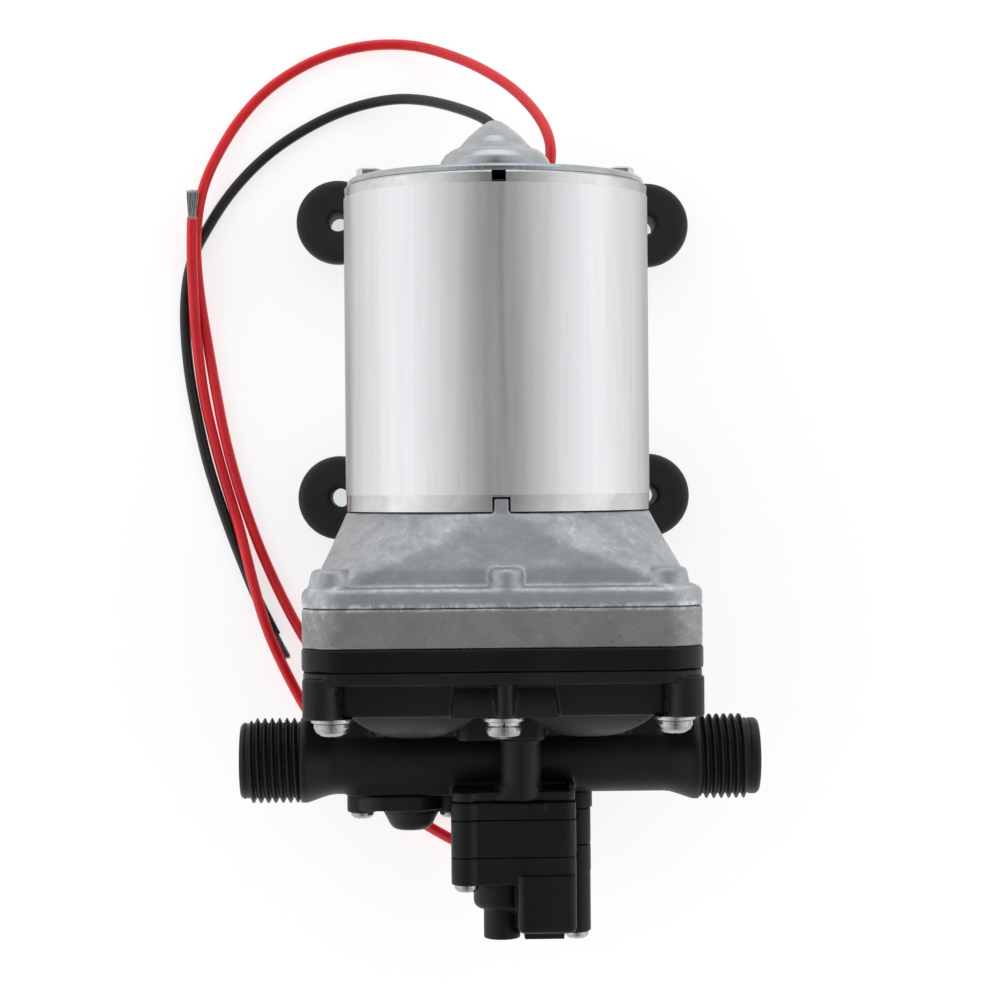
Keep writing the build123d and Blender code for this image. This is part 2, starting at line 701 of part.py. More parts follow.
    # bores: inlet on the left, outlet on the right
    for x0, x1, r in ((-PORT_L - 1, -SPLIT_X, BORE_R), (-SPLIT_X - 1, -27.5, 5.9)):
        with BuildSketch(Plane(origin=(x0, TUBE_Y, AX), x_dir=(0, 1, 0), z_dir=(1, 0, 0))):
            Circle(r)
        extrude(amount=x1 - x0, mode=Mode.SUBTRACT)
    for x0, x1, r in ((PORT_R + 1, SPLIT_X, BORE_R), (SPLIT_X + 1, -25.5, 5.9)):
        with BuildSketch(Plane(origin=(x0, TUBE_Y, AX), x_dir=(0, 1, 0), z_dir=(-1, 0, 0))):
            Circle(r)
        extrude(amount=x0 - x1, mode=Mode.SUBTRACT)
    with BuildSketch(down(-80)):
        with Locations((-31.7, 0)):
            Circle(3.8)
        with Locations((9.5, 0)):
            Circle(4.6)
    extrude(amount=19, mode=Mode.SUBTRACT)
    # bypass valve: seat hole from the outlet bore, return hole to the inlet bore, two screw holes
    with BuildSketch(down(-103)):
        with Locations((-22.3, 0)):
            Circle(2.4)
        with Locations((-29.1, 0)):
            Circle(1.2)
    extrude(amount=6, mode=Mode.SUBTRACT)
    with BuildSketch(down(-105.3)):
        with Locations((-33.6, 0), (-12.0, 0)):
            Circle(1.3)
    extrude(amount=4, mode=Mode.SUBTRACT)
    # sense passage from the outlet gallery, and the switch screws' holes
    with BuildSketch(down(-81)):
        with Locations((5.0, 12.5)):
            Circle(1.4)
    extrude(amount=30, mode=Mode.SUBTRACT)
    with BuildSketch(down(-105.3)):
        with Locations((-8.5, 16.5), (18.7, -5.0), (-4.4, -5.2)):
            Circle(1.55)
    extrude(amount=4, mode=Mode.SUBTRACT)

# the head between the ports, and the two ports as one node of two solids
with BuildPart() as head_body:
    add(pump_head.part)
    with Locations((0, -95, AX)):
        Box(2 * SPLIT_X, 60, 140, mode=Mode.INTERSECT)
write(head_body, "pump_head")

with BuildPart() as manifold_ports:
    add(pump_head.part)
    with Locations((0, -95, AX)):
        Box(2 * SPLIT_X, 80, 160, mode=Mode.SUBTRACT)
write(manifold_ports, "manifold_ports")

with BuildPart() as head_screws:
    for x, h in SCREWS:
        gap = 2.0 if x == 0 else 1.0
        with BuildSketch(Plane(origin=(x, 0, AX + h), x_dir=(1, 0, 0), z_dir=(0, 0, 1))):
            y = SEAT_Y - gap
            outline((0, -53.3), (1.6, -53.3), (1.98, -54.0), (1.98, y), (4.1, y), (4.2, y - 1.2), (3.7, y - 2.2), (2.6, y - 2.9), (1.2, y - 3.2), (0, y - 3.2))
        revolve(axis=Axis((x, 0, AX + h), (0, 1, 0)))
    # cross recess
    for x, h in SCREWS:
        y = SEAT_Y - (2.0 if x == 0 else 1.0)
        with BuildSketch(down(y - 1.4)):
            with Locations((x, h)):
                Rectangle(3.8, 0.9)
                Rectangle(0.9, 3.8)
        extrude(amount=3, mode=Mode.SUBTRACT)
write(head_screws, "head_screws")

with BuildPart() as head_washers:
    with BuildSketch(down(SEAT_Y)):
        with Locations(*SCREWS):
            Circle(4.8)
        with Locations(*SCREWS):
            Circle(2.3, mode=Mode.SUBTRACT)
    extrude(amount=0.96)
    # split lock washers under the two centre screws
    with BuildSketch(down(SEAT_Y - 1.0)):
        with Locations((0, SCREW_P), (0, -SCREW_P)):
            Circle(3.9)
        with Locations((0, SCREW_P), (0, -SCREW_P)):
            Circle(2.3, mode=Mode.SUBTRACT)
        with Locations((0, SCREW_P + 3), (0, -SCREW_P - 3)):
            Rectangle(0.5, 3, mode=Mode.SUBTRACT)
    extrude(amount=0.96)
write(head_washers, "head_washers")

# ------------------------------------------------------------------ bypass valve, under the manifold
VX = -22.3
with BuildPart() as bypass_seal:
    with BuildSketch(down(-107.54)):
        with Locations((-23.65, 0)):
            SlotOverall(15.5, 12.4)
        with Locations((-23.65, 0)):
            SlotOverall(13.3, 10.2, mode=Mode.SUBTRACT)
    extrude(amount=0.76)
write(bypass_seal, "bypass_seal")

with BuildPart() as bypass_cover:
    with BuildSketch(down(-107.54)):
        with Locations((-24.6, 0)):
            SlotOverall(21.4, 14.4)
        with Locations((-22.8, 0)):
            Rectangle(21.6, 5.0)
    extrude(amount=3.4)
    with BuildSketch(down(-107.54)):
        with Locations((-33.6, 0), (-12.0, 0)):
            Circle(3.7)
    extrude(amount=4.25)
    fillet(bypass_cover.edges().filter_by_position(Axis.Y, -111.8, -111.78), 0.4)
    with BuildSketch(Plane(origin=(VX + 0.6, 0, AX), x_dir=(1, 0, 0), z_dir=(0, 0, 1))):
        with BuildLine():
            Polyline((0, -110), (7.0, -110), (6.9, -111.2))
            Spline((6.9, -111.2), (6.1, -113.0), (4.9, -115.2), (3.2, -116.1), tangents=((-0.2, -1), (-1, -0.1)))
            Polyline((3.2, -116.1), (0, -116.15), (0, -110))
        make_face()
    revolve(axis=Axis((VX + 0.6, 0, AX), (0, 1, 0)))
    with BuildSketch(down(-107)):
        with Locations((VX, 0)):
            Circle(4.6)
        with Locations((-26.0, 0)):
            Rectangle(7.4, 3.0)
    extrude(amount=3.5, mode=Mode.SUBTRACT)
    with BuildSketch(down(-110.4)):
        with Locations((VX, 0)):
            Circle(3.4)
    extrude(amount=4.2, mode=Mode.SUBTRACT)
    with BuildSketch(down(-107)):
        with Locations((-23.65, 0)):
            SlotOverall(15.7, 12.6)
            SlotOverall(13.1, 10.0, mode=Mode.SUBTRACT)
    extrude(amount=1.34, mode=Mode.SUBTRACT)
    with BuildSketch(down(-107)):
        with Locations((-33.6, 0), (-12.0, 0)):
            Circle(1.5)
    extrude(amount=6, mode=Mode.SUBTRACT)
write(bypass_cover, "bypass_cover")

with BuildPart() as bypass_screws:
    for x in (-33.6, -12.0):
        with BuildSketch(Plane(origin=(x, 0, AX), x_dir=(1, 0, 0), z_dir=(0, 0, 1))):
            outline((0, -105.6), (1.25, -105.6), (1.25, -111.82), (2.85, -111.82), (2.75, -112.6), (2.1, -113.2), (1.0, -113.45), (0, -113.45))
        revolve(axis=Axis((x, 0, AX), (0, 1, 0)))
write(bypass_screws, "bypass_screws")

with BuildPart() as bypass_poppet:
    with BuildSketch(Plane(origin=(VX, 0, AX), x_dir=(1, 0, 0), z_dir=(0, 0, 1))):
        outline((0, -107.53), (3.6, -107.53), (3.6, -108.7), (1.5, -109.0), (1.5, -110.6), (0, -110.6))
    revolve(axis=Axis((VX, 0, AX), (0, 1, 0)))
write(bypass_poppet, "bypass_poppet")


def coil(x, h, y0, y1, r, wire, turns):
    """Closed coils joined by short links, round an axis along Y."""
    step = (y0 - y1 - wire) / (turns - 1)
    for i in range(turns):
        with BuildSketch(down(y0 - i * step)) as turn:
            with Locations((x, h)):
                Circle(r)
            with Locations((x, h)):
                Circle(r - wire, mode=Mode.SUBTRACT)
        extrude(turn.sketch, amount=wire)
    for i in range(turns - 1):
        with BuildSketch(down(y0 - i * step)) as link:
            with Locations((x + (r - wire / 2) * (1 if i % 2 else -1), h)):
                Rectangle(wire * 0.8, wire)
        extrude(link.sketch, amount=step + wire / 2)


with BuildPart() as bypass_spring:
    coil(VX, 0, -109.1, -114.5, 2.7, 0.6, 5)
write(bypass_spring, "bypass_spring")

# ------------------------------------------------------------------ pressure switch
SX, SH = SW
SW_SCREWS = [(-8.5, 16.5), (18.7, -5.0), (-4.4, -5.2)]


def footprint(ear=3.6):
    with Locations((2.75, 12.35)):
        RectangleRounded(29.7, 13.7, 2.6)
    with Locations((-8.5, 16.5)):
        Circle(3.6)
    with Locations((4.9, 0.5)):
        Rectangle(25.4, 17)
    with Locations((18.7, -5.0)):
        Circle(ear)


with BuildPart() as switch_base:
    with BuildSketch(down(-107.6)):
        footprint(4.0)
    extrude(amount=4.18)
    with BuildSketch(down(-107.7)):
        with Locations((4.2, 15.6)):
            Rectangle(11.8, 9.7)
    extrude(amount=1.8)
    with BuildSketch(down(-107)):
        with Locations((SX, SH)):
            Circle(8.4)
    extrude(amount=6, mode=Mode.SUBTRACT)
    with BuildSketch(down(-111.0)):
        with Locations((SX, SH)):
            Circle(9.3)
    extrude(amount=2, mode=Mode.SUBTRACT)
    with BuildSketch(down(-107)):
        with Locations(*SW_SCREWS):
            Circle(1.6)
    extrude(amount=6, mode=Mode.SUBTRACT)
write(switch_base, "switch_base")

with BuildPart() as switch_diaphragm:
    with BuildSketch(down(-111.02)):
        with Locations((SX, SH)):
            Circle(9.25)
    extrude(amount=0.76)
write(switch_diaphragm, "switch_diaphragm")

with BuildPart() as switch_housing:
    with BuildSketch(down(-111.8)):
        footprint()
    extrude(amount=8.88)
    with BuildSketch(down(-111)):
        with Locations((SX, SH)):
            Circle(7.6)
        with Locations((9.0, SH)):
            Rectangle(12, 5.0)
    extrude(amount=6.5, mode=Mode.SUBTRACT)
    with BuildSketch(down(-117)):
        with Locations((SX, SH)):
            Circle(4.2)
        with Locations((12.2, SH)):
            Circle(1.7)
    extrude(amount=5, mode=Mode.SUBTRACT)
    with BuildSketch(down(-111)):
        with Locations(*SW_SCREWS):
            Circle(1.6)
    extrude(amount=11, mode=Mode.SUBTRACT)
write(switch_housing, "switch_housing")

with BuildPart() as switch_cover:
    with BuildSketch(down(-120.7)):
        footprint()
    extrude(amount=6.45)
    with BuildSketch(down(-125)):
        with Locations((10.5, 6.0)):
            RectangleRounded(14.0, 28, 1.8)
    extrude(amount=13.8)
    fillet(switch_cover.edges().filter_by_position(Axis.Y, -138.81, -138.79), 1.5)
    with BuildSketch(down(-137)):
        with Locations((9.9, 6.0)):
            Rectangle(10.4, 22)
    with BuildSketch(down(-140.6)):
        with Locations((9.9, 6.0)):
            Rectangle(9.4, 20)
    loft(ruled=True)
    with BuildSketch(down(-125)):
        with Locations((SX, SH)):
            Circle(6.8)
    extrude(amount=9.1)
    fillet(switch_cover.edges().filter_by_position(Axis.Y, -134.11, -134.09), 2.0)
    with BuildSketch(down(-125)):
        with Locations((SX, SH)):
            Circle(4.4)
    extrude(amount=16.3)
    with BuildSketch(down(-125)):
        with Locations((18.7, -5.0)):
            Circle(3.5)
    extrude(amount=17.2)
    # inside: spring bore, adjuster bore, pocket of the micro switch, terminal slots, screw holes
    with BuildSketch(down(-120)):
        with Locations((SX, SH)):
            Circle(4.2)
    extrude(amount=10.0, mode=Mode.SUBTRACT)
    with BuildSketch(down(-129)):
        with Locations((SX, SH)):
            Circle(3.05)
    extrude(amount=14, mode=Mode.SUBTRACT)
    with BuildSketch(down(-122.6)):
        with Locations((11.5, 6.0)):
            Rectangle(9.6, 22.6)
    extrude(amount=13.2, mode=Mode.SUBTRACT)
    with BuildSketch(down(-120)):
        with Locations((12.2, SH)):
            Circle(1.9)
    extrude(amount=4, mode=Mode.SUBTRACT)
    for x, y in ((8.6, -126.5), (14.4, -132.2)):
        with BuildSketch(Plane(origin=(x, y, AX - 3), x_dir=(1, 0, 0), z_dir=(0, 0, -1))):
            Rectangle(5.2, 1.4)
        extrude(amount=8, mode=Mode.SUBTRACT)
    with BuildSketch(down(-120)):
        with Locations(*SW_SCREWS):
            Circle(1.6)
    extrude(amount=24, mode=Mode.SUBTRACT)
write(switch_cover, "switch_cover")

with BuildPart() as switch_plunger:
    with BuildSketch(down(-112.0)):
        with Locations((SX, SH)):
            Circle(7.0)
    extrude(amount=1.8)
    with BuildSketch(down(-112.6)):
        with Locations((8.6, SH)):
            RectangleRounded(9.6, 4.0, 1.0)
    extrude(amount=1.6)
    with BuildSketch(down(-113.5)):
        with Locations((SX, SH)):
            Circle(2.0)
    extrude(amount=5.5)
write(switch_plunger, "switch_plunger")

with BuildPart() as switch_spring:
    coil(SX, SH, -114.25, -129.9, 3.6, 0.9, 9)
write(switch_spring, "switch_spring")

with BuildPart() as pressure_adjuster:
    with BuildSketch(down(-130.0)):
        with Locations((SX, SH)):
            Circle(3.0)
    extrude(amount=10.2)
    with BuildSketch(down(-137.4)):
        with Locations((SX, SH)):
            RegularPolygon(1.6, 6, major_radius=False)
    extrude(amount=4, mode=Mode.SUBTRACT)
write(pressure_adjuster, "pressure_adjuster")

with BuildPart() as micro_switch:
    with BuildSketch(down(-122.9)):
        with Locations((11.5, 6.0)):
            Rectangle(9.0, 22.0)
    extrude(amount=12.4)
    with BuildSketch(down(-122)):
        with Locations((12.2, SH)):
            Circle(1.3)
    extrude(amount=6, mode=Mode.SUBTRACT)
write(micro_switch, "micro_switch")

with BuildPart() as switch_button:
    with BuildSketch(down(-114.25)):
        with Locations((12.2, SH)):
            Circle(1.25)
    extrude(amount=10.5)
write(switch_button, "switch_button")

with BuildPart() as switch_terminals:
    for x, y in ((8.6, -126.5), (14.4, -132.2)):
        with BuildSketch(Plane(origin=(x, y, AX - 5.02), x_dir=(1, 0, 0), z_dir=(0, 0, -1))):
            Rectangle(4.7, 0.8)
        extrude(amount=9.4)
write(switch_terminals, "switch_terminals")

with BuildPart() as switch_screws:
    for (x, h), y in zip(SW_SCREWS, (-127.17, -142.22, -127.17)):
        with BuildSketch(Plane(origin=(x, 0, AX + h), x_dir=(1, 0, 0), z_dir=(0, 0, 1))):
            outline((0, -105.42), (1.45, -105.42), (1.45, y), (2.97, y), (2.9, y - 0.9), (2.3, y - 1.6), (1.2, y - 1.9), (0, y - 1.9))
        revolve(axis=Axis((x, 0, AX + h), (0, 1, 0)))
write(switch_screws, "switch_screws")

# push-on receptacles at the ends of the two red leads
with BuildPart() as lead_connectors:
    for x, y in ((8.6, -126.5), (14.4, -132.2)):
        with BuildSketch(Plane(origin=(x, y, AX - 8.6), x_dir=(1, 0, 0), z_dir=(0, 0, -1))):
            RectangleRounded(6.2, 3.2, 0.8)
            Rectangle(4.9, 1.0, mode=Mode.SUBTRACT)
        extrude(amount=6.4)
        with BuildSketch(Plane(origin=(x, y, AX - 14.9), x_dir=(1, 0, 0), z_dir=(0, 0, -1))):
            RectangleRounded(6.2, 3.2, 0.8)
        extrude(amount=1.4)
        with BuildSketch(Plane(origin=(x, y, AX - 16.2), x_dir=(1, 0, 0), z_dir=(0, 0, -1))):
            Circle(1.9)
        extrude(amount=5.8)
write(lead_connectors, "lead_connectors")

# ------------------------------------------------------------------ base plate and rubber feet
with BuildPart() as base_plate:
    with BuildSketch(Plane.XY.offset(10)):
        Rectangle(54, 86)
        with Locations((FOOT_X, FOOT_Y), (-FOOT_X, FOOT_Y), (FOOT_X, -FOOT_Y), (-FOOT_X, -FOOT_Y)):
            Circle(8.6)
        with Locations((0, FOOT_Y), (0, -FOOT_Y)):
            Rectangle(2 * FOOT_X, 14)
        Rectangle(30, 40, mode=Mode.SUBTRACT)
        with Locations((FOOT_X, FOOT_Y), (-FOOT_X, FOOT_Y), (FOOT_X, -FOOT_Y), (-FOOT_X, -FOOT_Y)):
            Circle(6.05, mode=Mode.SUBTRACT)
    extrude(amount=2)
    # saddle that holds the can
    with BuildSketch(down(30)):
        Circle(38.7)
        Circle(36.85, mode=Mode.SUBTRACT)
        with Locations((0, 20)):
            Rectangle(100, 100, mode=Mode.SUBTRACT)
        with Locations((0, -15)):
            Rectangle(100, 36, mode=Mode.SUBTRACT)
    extrude(amount=60)
    with BuildSketch(down(30)):
        with Locations((17.2, -41.0), (-17.2, -41.0)):
            Rectangle(2.0, 12.4)
        Circle(36.85, mode=Mode.SUBTRACT)
    extrude(amount=60)
write(base_plate, "base_plate")

with BuildPart() as rubber_feet:
    for x in (FOOT_X, -FOOT_X):
        for y in (FOOT_Y, -FOOT_Y):
            with BuildSketch(Plane(origin=(x, y, 0), x_dir=(1, 0, 0), z_dir=(0, -1, 0))):
                with BuildLine():
                    Polyline((2.45, 0), (8.4, 0), (8.8, 0.5), (9.4, 9.4), (8.9, 9.9), (6.0, 9.9), (6.0, 12.1), (10.2, 12.1), (FOOT_R, 12.8), (FOOT_R, 15.6))
                    ThreePointArc((FOOT_R, 15.6), (FOOT_R - 0.75, 17.35), (FOOT_R - 2.5, 18.1))
                    Polyline((FOOT_R - 2.5, 18.1), (5.4, 18.1), (4.9, 17.5), (2.45, 17.5), (2.45, 0))
                make_face()
            revolve(axis=Axis((x, y, 0), (0, 0, 1)))
write(rubber_feet, "rubber_feet")

# ------------------------------------------------------------------ leads
RED_LINK = [(13.8, 45.02, 36), (13.8, 50.6, 36), (13.2, 56.6, 34.2), (10.8, 63.8, 29.4), (5.9, 70.6, 22.4), (-0.8, 76.8, 14.8),
            (-9.3, 81.7, 8.0), (-18.7, 84.2, 3.2), (-28.6, 85.0, 1.5), (-39.0, 83.5, 1.5), (-49.1, 79.2, 1.5), (-58.4, 73.0, 1.5),
            (-66.6, 65.3, 1.5), (-72.6, 56.2, 2.6), (-76.4, 47.2, 5.2), (-78.2, 37.4, 7.4), (-78.5, 27.2, 7.4), (-78.2, 17.6, 3.8),
            (-77.8, 7.6, 1.5), (-76.2, -3.0, 1.5), (-73.8, -14.7, 1.5), (-71.0, -27.5, 1.5), (-67.2, -40.6, 1.5), (-62.2, -54.2, 1.5),
            (-56.0, -67.4, 1.5), (-48.1, -80.4, 1.5), (-39.4, -92.2, 1.5), (-30.0, -102.0, 1.5), (-20.0, -109.6, 1.6), (-10.4, -115.0, 3.2),
            (-2.2, -119.6, 7.4), (4.2, -123.4, 13.6), (7.6, -125.6, 21.2), (8.6, -126.4, 29.0), (8.6, -126.5, 35.98)]
RED_SUPPLY = [(-81.2, 38.6, 4.8), (-81.4, 31.6, 7.4), (-81.5, 22.0, 7.4), (-81.2, 12.0, 3.8), (-80.7, 2.4, 1.5), (-78.8, -7.2, 1.5),
              (-76.6, -19.6, 1.5), (-73.6, -31.4, 2.0), (-70.2, -42.0, 5.0), (-67.5, -52.0, 7.4), (-64.7, -62.6, 7.4), (-61.7, -72.6, 7.4),
              (-58.4, -82.0, 4.2), (-53.4, -91.6, 1.8), (-46.4, -101.2, 1.5), (-37.6, -110.0, 1.5), (-28.2, -117.2, 1.6), (-18.4, -123.6, 2.8),
              (-8.4, -128.6, 5.8), (1.2, -131.6, 10.4), (8.7, -132.8, 16.4), (13.0, -132.7, 22.8), (14.4, -132.3, 29.4), (14.4, -132.2, 35.98)]
BLACK_SUPPLY = [(2.2, 45.02, 34), (2.2, 50.8, 34), (1.5, 56.6, 31.8), (-0.9, 62.0, 26.6), (-5.7, 66.2, 19.6), (-12.5, 69.2, 12.2),
                (-21.1, 70.6, 5.8), (-30.3, 70.1, 2.0), (-39.9, 67.2, 1.5), (-49.3, 62.3, 1.5), (-58.4, 55.4, 1.5), (-66.5, 47.5, 1.5),
                (-73.5, 39.0, 1.5), (-79.1, 30.6, 1.5), (-82.9, 21.8, 1.5), (-84.3, 12.0, 1.5), (-83.5, 0.8, 1.5), (-81.8, -10.4, 1.5),
                (-79.4, -21.1, 1.5), (-76.8, -31.7, 1.5), (-73.6, -42.1, 1.5), (-70.0, -52.3, 1.5), (-65.4, -62.2, 1.5), (-59.5, -71.4, 1.5)]


def corner_radii(points):
    """Each corner's arc is as large as its two runs allow."""
    p = [Vector(*q) for q in points]
    out = []
    for i in range(1, len(p) - 1):
        a, b = p[i] - p[i - 1], p[i + 1] - p[i]
        out.append(round(0.45 * min(a.length, b.length) / math.tan(math.radians(a.get_angle(b) / 2)), 2))
    return out


for name, points in (("red_link_lead", RED_LINK), ("red_supply_lead", RED_SUPPLY), ("black_supply_lead", BLACK_SUPPLY)):
    radii = corner_radii(points)
    with BuildPart() as lead:
        with BuildLine() as path:
            FilletPolyline(*points, radius=radii)
        route = path.wires()[0]
        with BuildSketch(Plane(origin=route @ 0, z_dir=route % 0)):
            Circle(LEAD_R)
        sweep(path=route)
    write(lead, name)
    print(name, "radii", radii)
    print(name, "length", round(route.length, 2), "volume over section x length",
          round(lead.part.volume / (math.pi * LEAD_R**2 * route.length), 5))

# stripped ends: the strands of the red and the black supply lead
with BuildPart() as bare_lead_ends:
    for points, r1, length in ((RED_SUPPLY, 1.5, 8.1), (BLACK_SUPPLY[::-1], 1.1, 7.6)):
        start = Vector(*points[0])
        way = (start - Vector(*points[1])).normalized()
        if points is RED_SUPPLY:
            way = Vector(0.02, 0.985, -0.17).normalized()
        else:
            way = Vector(way.X, way.Y, 0).normalized()
        with BuildSketch(Plane(origin=start + way * 0.3, z_dir=way)):
            Circle(0.95)
        with BuildSketch(Plane(origin=start + way * length, z_dir=way)):
            Circle(r1)
        loft()
write(bare_lead_ends, "bare_lead_ends")
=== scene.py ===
import json
import math

import bpy
import numpy as np
from mathutils import Matrix, Vector


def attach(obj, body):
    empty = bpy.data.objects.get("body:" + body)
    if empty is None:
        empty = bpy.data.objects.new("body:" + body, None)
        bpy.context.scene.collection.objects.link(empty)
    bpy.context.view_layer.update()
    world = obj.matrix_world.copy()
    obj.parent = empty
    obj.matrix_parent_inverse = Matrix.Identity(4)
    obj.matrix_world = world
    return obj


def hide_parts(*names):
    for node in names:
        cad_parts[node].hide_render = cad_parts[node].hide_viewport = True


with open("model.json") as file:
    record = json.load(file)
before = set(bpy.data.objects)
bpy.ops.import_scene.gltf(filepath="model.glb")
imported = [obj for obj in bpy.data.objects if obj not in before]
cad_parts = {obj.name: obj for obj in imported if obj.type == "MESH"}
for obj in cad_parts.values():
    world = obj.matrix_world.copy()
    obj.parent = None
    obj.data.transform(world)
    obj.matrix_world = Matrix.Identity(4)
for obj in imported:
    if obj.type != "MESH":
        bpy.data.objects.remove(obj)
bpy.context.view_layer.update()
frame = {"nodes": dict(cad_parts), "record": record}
nodes = frame["nodes"]
scene = bpy.context.scene
MM = 0.001
AXIS_H = 58.0          # height of the motor axis, mm
TUBE_Y = -99.1         # manifold tube's axis

# ------------------------------------------------------------------ camera
cam_data = bpy.data.cameras.new("camera")
cam = bpy.data.objects.new("camera", cam_data)
scene.collection.objects.link(cam)
scene.camera = cam
cam.location = (-0.0143, -0.0313, 0.678)
cam.rotation_euler = (Matrix.Rotation(math.radians(-1.375), 4, "Y") @ Matrix.Rotation(math.radians(-0.476), 4, "Z")).to_euler()
cam_data.sensor_width = 36.0
cam_data.lens = 91.51
cam_data.shift_y = -0.02
cam_data.clip_start = 0.01
cam_data.clip_end = 20.0
cam_data.dof.use_dof = False

# ------------------------------------------------------------------ free leads
LEAD_D = 0.0028
POINT_R = 0.001        # small point radius, so that a curve's bounds are those of its tube
RED_LINK = [(13.8, 45.02, 36), (14.9, 50.4, 36), (14.3, 55.9, 33.6), (12.4, 60.7, 30), (9.3, 65.5, 26), (5.0, 70.5, 20.8),
            (-0.8, 75.3, 14.8), (-6.7, 79.1, 9.4), (-12.7, 82.0, 5.2), (-18.8, 84.1, 2.6), (-26.1, 84.9, 1.5), (-34.3, 84.3, 1.5),
            (-43.4, 82.0, 1.5), (-52.3, 77.7, 1.5), (-60.4, 71.9, 1.5), (-67.1, 64.3, 1.5), (-72.1, 55.9, 2.7), (-75.4, 48.7, 4.0),
            (-77.2, 41.5, 4.7), (-78.0, 33.8, 4.8), (-77.9, 25.9, 4.5), (-77.0, 15.8, 2.3), (-75.4, 5.6, 1.5), (-73.3, -7.2, 1.5),
            (-71.4, -17.7, 1.5), (-69.3, -26.5, 1.5), (-66.6, -36.0, 1.5), (-62.6, -47.6, 1.5), (-57.9, -58.6, 1.5), (-52.3, -69.9, 1.5),
            (-45.8, -80.3, 1.5), (-37.4, -92.4, 1.5), (-28.9, -103.0, 1.5), (-19.6, -111.0, 1.8), (-10.2, -116.2, 3.6),
            (-2.2, -120.0, 7.6), (4.2, -123.4, 13.6), (7.6, -125.6, 21.2), (8.6, -126.4, 29.0), (8.6, -126.5, 35.98)]
RED_SUPPLY = [(-78.6, 38.2, 7.8), (-78.8, 33.0, 7.9), (-78.8, 26.7, 7.7), (-78.6, 19.2, 6.3), (-78.4, 10.1, 4.2), (-77.6, 0.7, 2.4),
              (-76.4, -8.9, 1.8), (-74.7, -16.9, 1.5), (-72.4, -26.2, 1.5), (-70.0, -34.7, 1.6), (-67.4, -42.9, 2.6), (-65.3, -51.1, 4.4),
              (-63.4, -58.8, 4.9), (-61.4, -66.2, 4.9), (-58.9, -73.4, 4.5), (-55.2, -82.0, 2.4), (-50.4, -91.4, 1.5), (-43.6, -101.7, 1.5),
              (-35.4, -110.6, 1.5), (-26.6, -117.4, 1.8), (-17.4, -123.4, 3.2), (-8.0, -128.2, 6.0), (1.2, -131.4, 10.6),
              (8.7, -132.8, 16.4), (13.0, -132.7, 22.8), (14.4, -132.3, 29.4), (14.4, -132.2, 35.98)]
BLACK_SUPPLY = [(2.2, 45.02, 34), (2.7, 51.2, 34.3), (1.8, 57.2, 31.8), (-1.6, 61.2, 27.2), (-6.0, 63.9, 21.8), (-11.3, 66.5, 15.8),
                (-17.4, 68.7, 10), (-24.3, 69.8, 5.4), (-32.0, 69.1, 2.4), (-40.1, 66.8, 1.5), (-48.6, 62.7, 1.5), (-56.9, 57.4, 1.5),
                (-63.9, 51.3, 1.5), (-70.3, 43.9, 1.5), (-75.3, 36.0, 1.5), (-78.7, 29.9, 1.5), (-80.6, 23.3, 1.5), (-81.4, 15.0, 1.5),
                (-81.2, 6.6, 1.5), (-80.3, -2.9, 1.5), (-78.6, -12.8, 1.5), (-76.0, -25.1, 1.5), (-73.1, -34.7, 1.5), (-69.6, -45.0, 1.5),
                (-66.1, -54.1, 1.5), (-62.8, -62.6, 1.5), (-58.1, -71.8, 1.5)]


def lead(name, points, diameter):
    curve = bpy.data.curves.new(name, "CURVE")
    curve.dimensions = "3D"
    curve.resolution_u = 10
    curve.bevel_depth = diameter / 2 / POINT_R
    curve.bevel_resolution = 8
    curve.use_fill_caps = True
    spline = curve.splines.new("NURBS")
    spline.points.add(len(points) - 1)
    for p, q in zip(spline.points, points):
        p.co = (q[0] * MM, q[1] * MM, q[2] * MM, 1.0)
        p.radius = POINT_R
    spline.order_u = 3
    spline.use_endpoint_u = True
    o = bpy.data.objects.new(name, curve)
    scene.collection.objects.link(o)
    return o


def line_of(o):
    bare = bpy.data.objects.new("bare_line", o.data.copy())
    bare.data.bevel_depth = 0
    mesh = bpy.data.meshes.new_from_object(bare)
    line = np.array([v.co for v in mesh.vertices], float)
    bpy.data.meshes.remove(mesh)
    bpy.data.curves.remove(bare.data)
    return line


red_link = lead("red_link_wire", RED_LINK, LEAD_D)
red_supply = lead("red_supply_wire", RED_SUPPLY, LEAD_D)
black_supply = lead("black_supply_wire", BLACK_SUPPLY, LEAD_D)
lines = {}
for o, node in ((red_link, "red_link_lead"), (red_supply, "red_supply_lead"), (black_supply, "black_supply_lead")):
    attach(o, "pump")
    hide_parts(node)
    lines[o.name] = line_of(o)
    print(o.name, "length", np.linalg.norm(np.diff(lines[o.name], axis=0), axis=1).sum())


# ------------------------------------------------------------------ mesh helpers (millimetres in, metres out)
def mesh_piece(name, verts, faces, body, slot_name, smooth=True):
    me = bpy.data.meshes.new(name)
    me.from_pydata([[c * MM for c in v] for v in verts], [], faces)
    me.validate()
    if smooth:
        me.polygons.foreach_set("use_smooth", [True] * len(me.polygons))
    me.update()
    o = bpy.data.objects.new(name, me)
    scene.collection.objects.link(o)
    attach(o, body)
    return o


def grid(rows, cols, at, close_rows=False, close_cols=True):
    """Vertices and quads of a rows x cols patch; at(i, j) gives a point."""
    verts = [at(i, j) for i in range(rows) for j in range(cols)]
    faces = []
    for i in range(rows if close_rows else rows - 1):
        for j in range(cols if close_cols else cols - 1):
            a, b = i * cols + j, i * cols + (j + 1) % cols
            k = (i + 1) % rows
            faces.append((a, b, k * cols + (j + 1) % cols, k * cols + j))
    return verts, faces


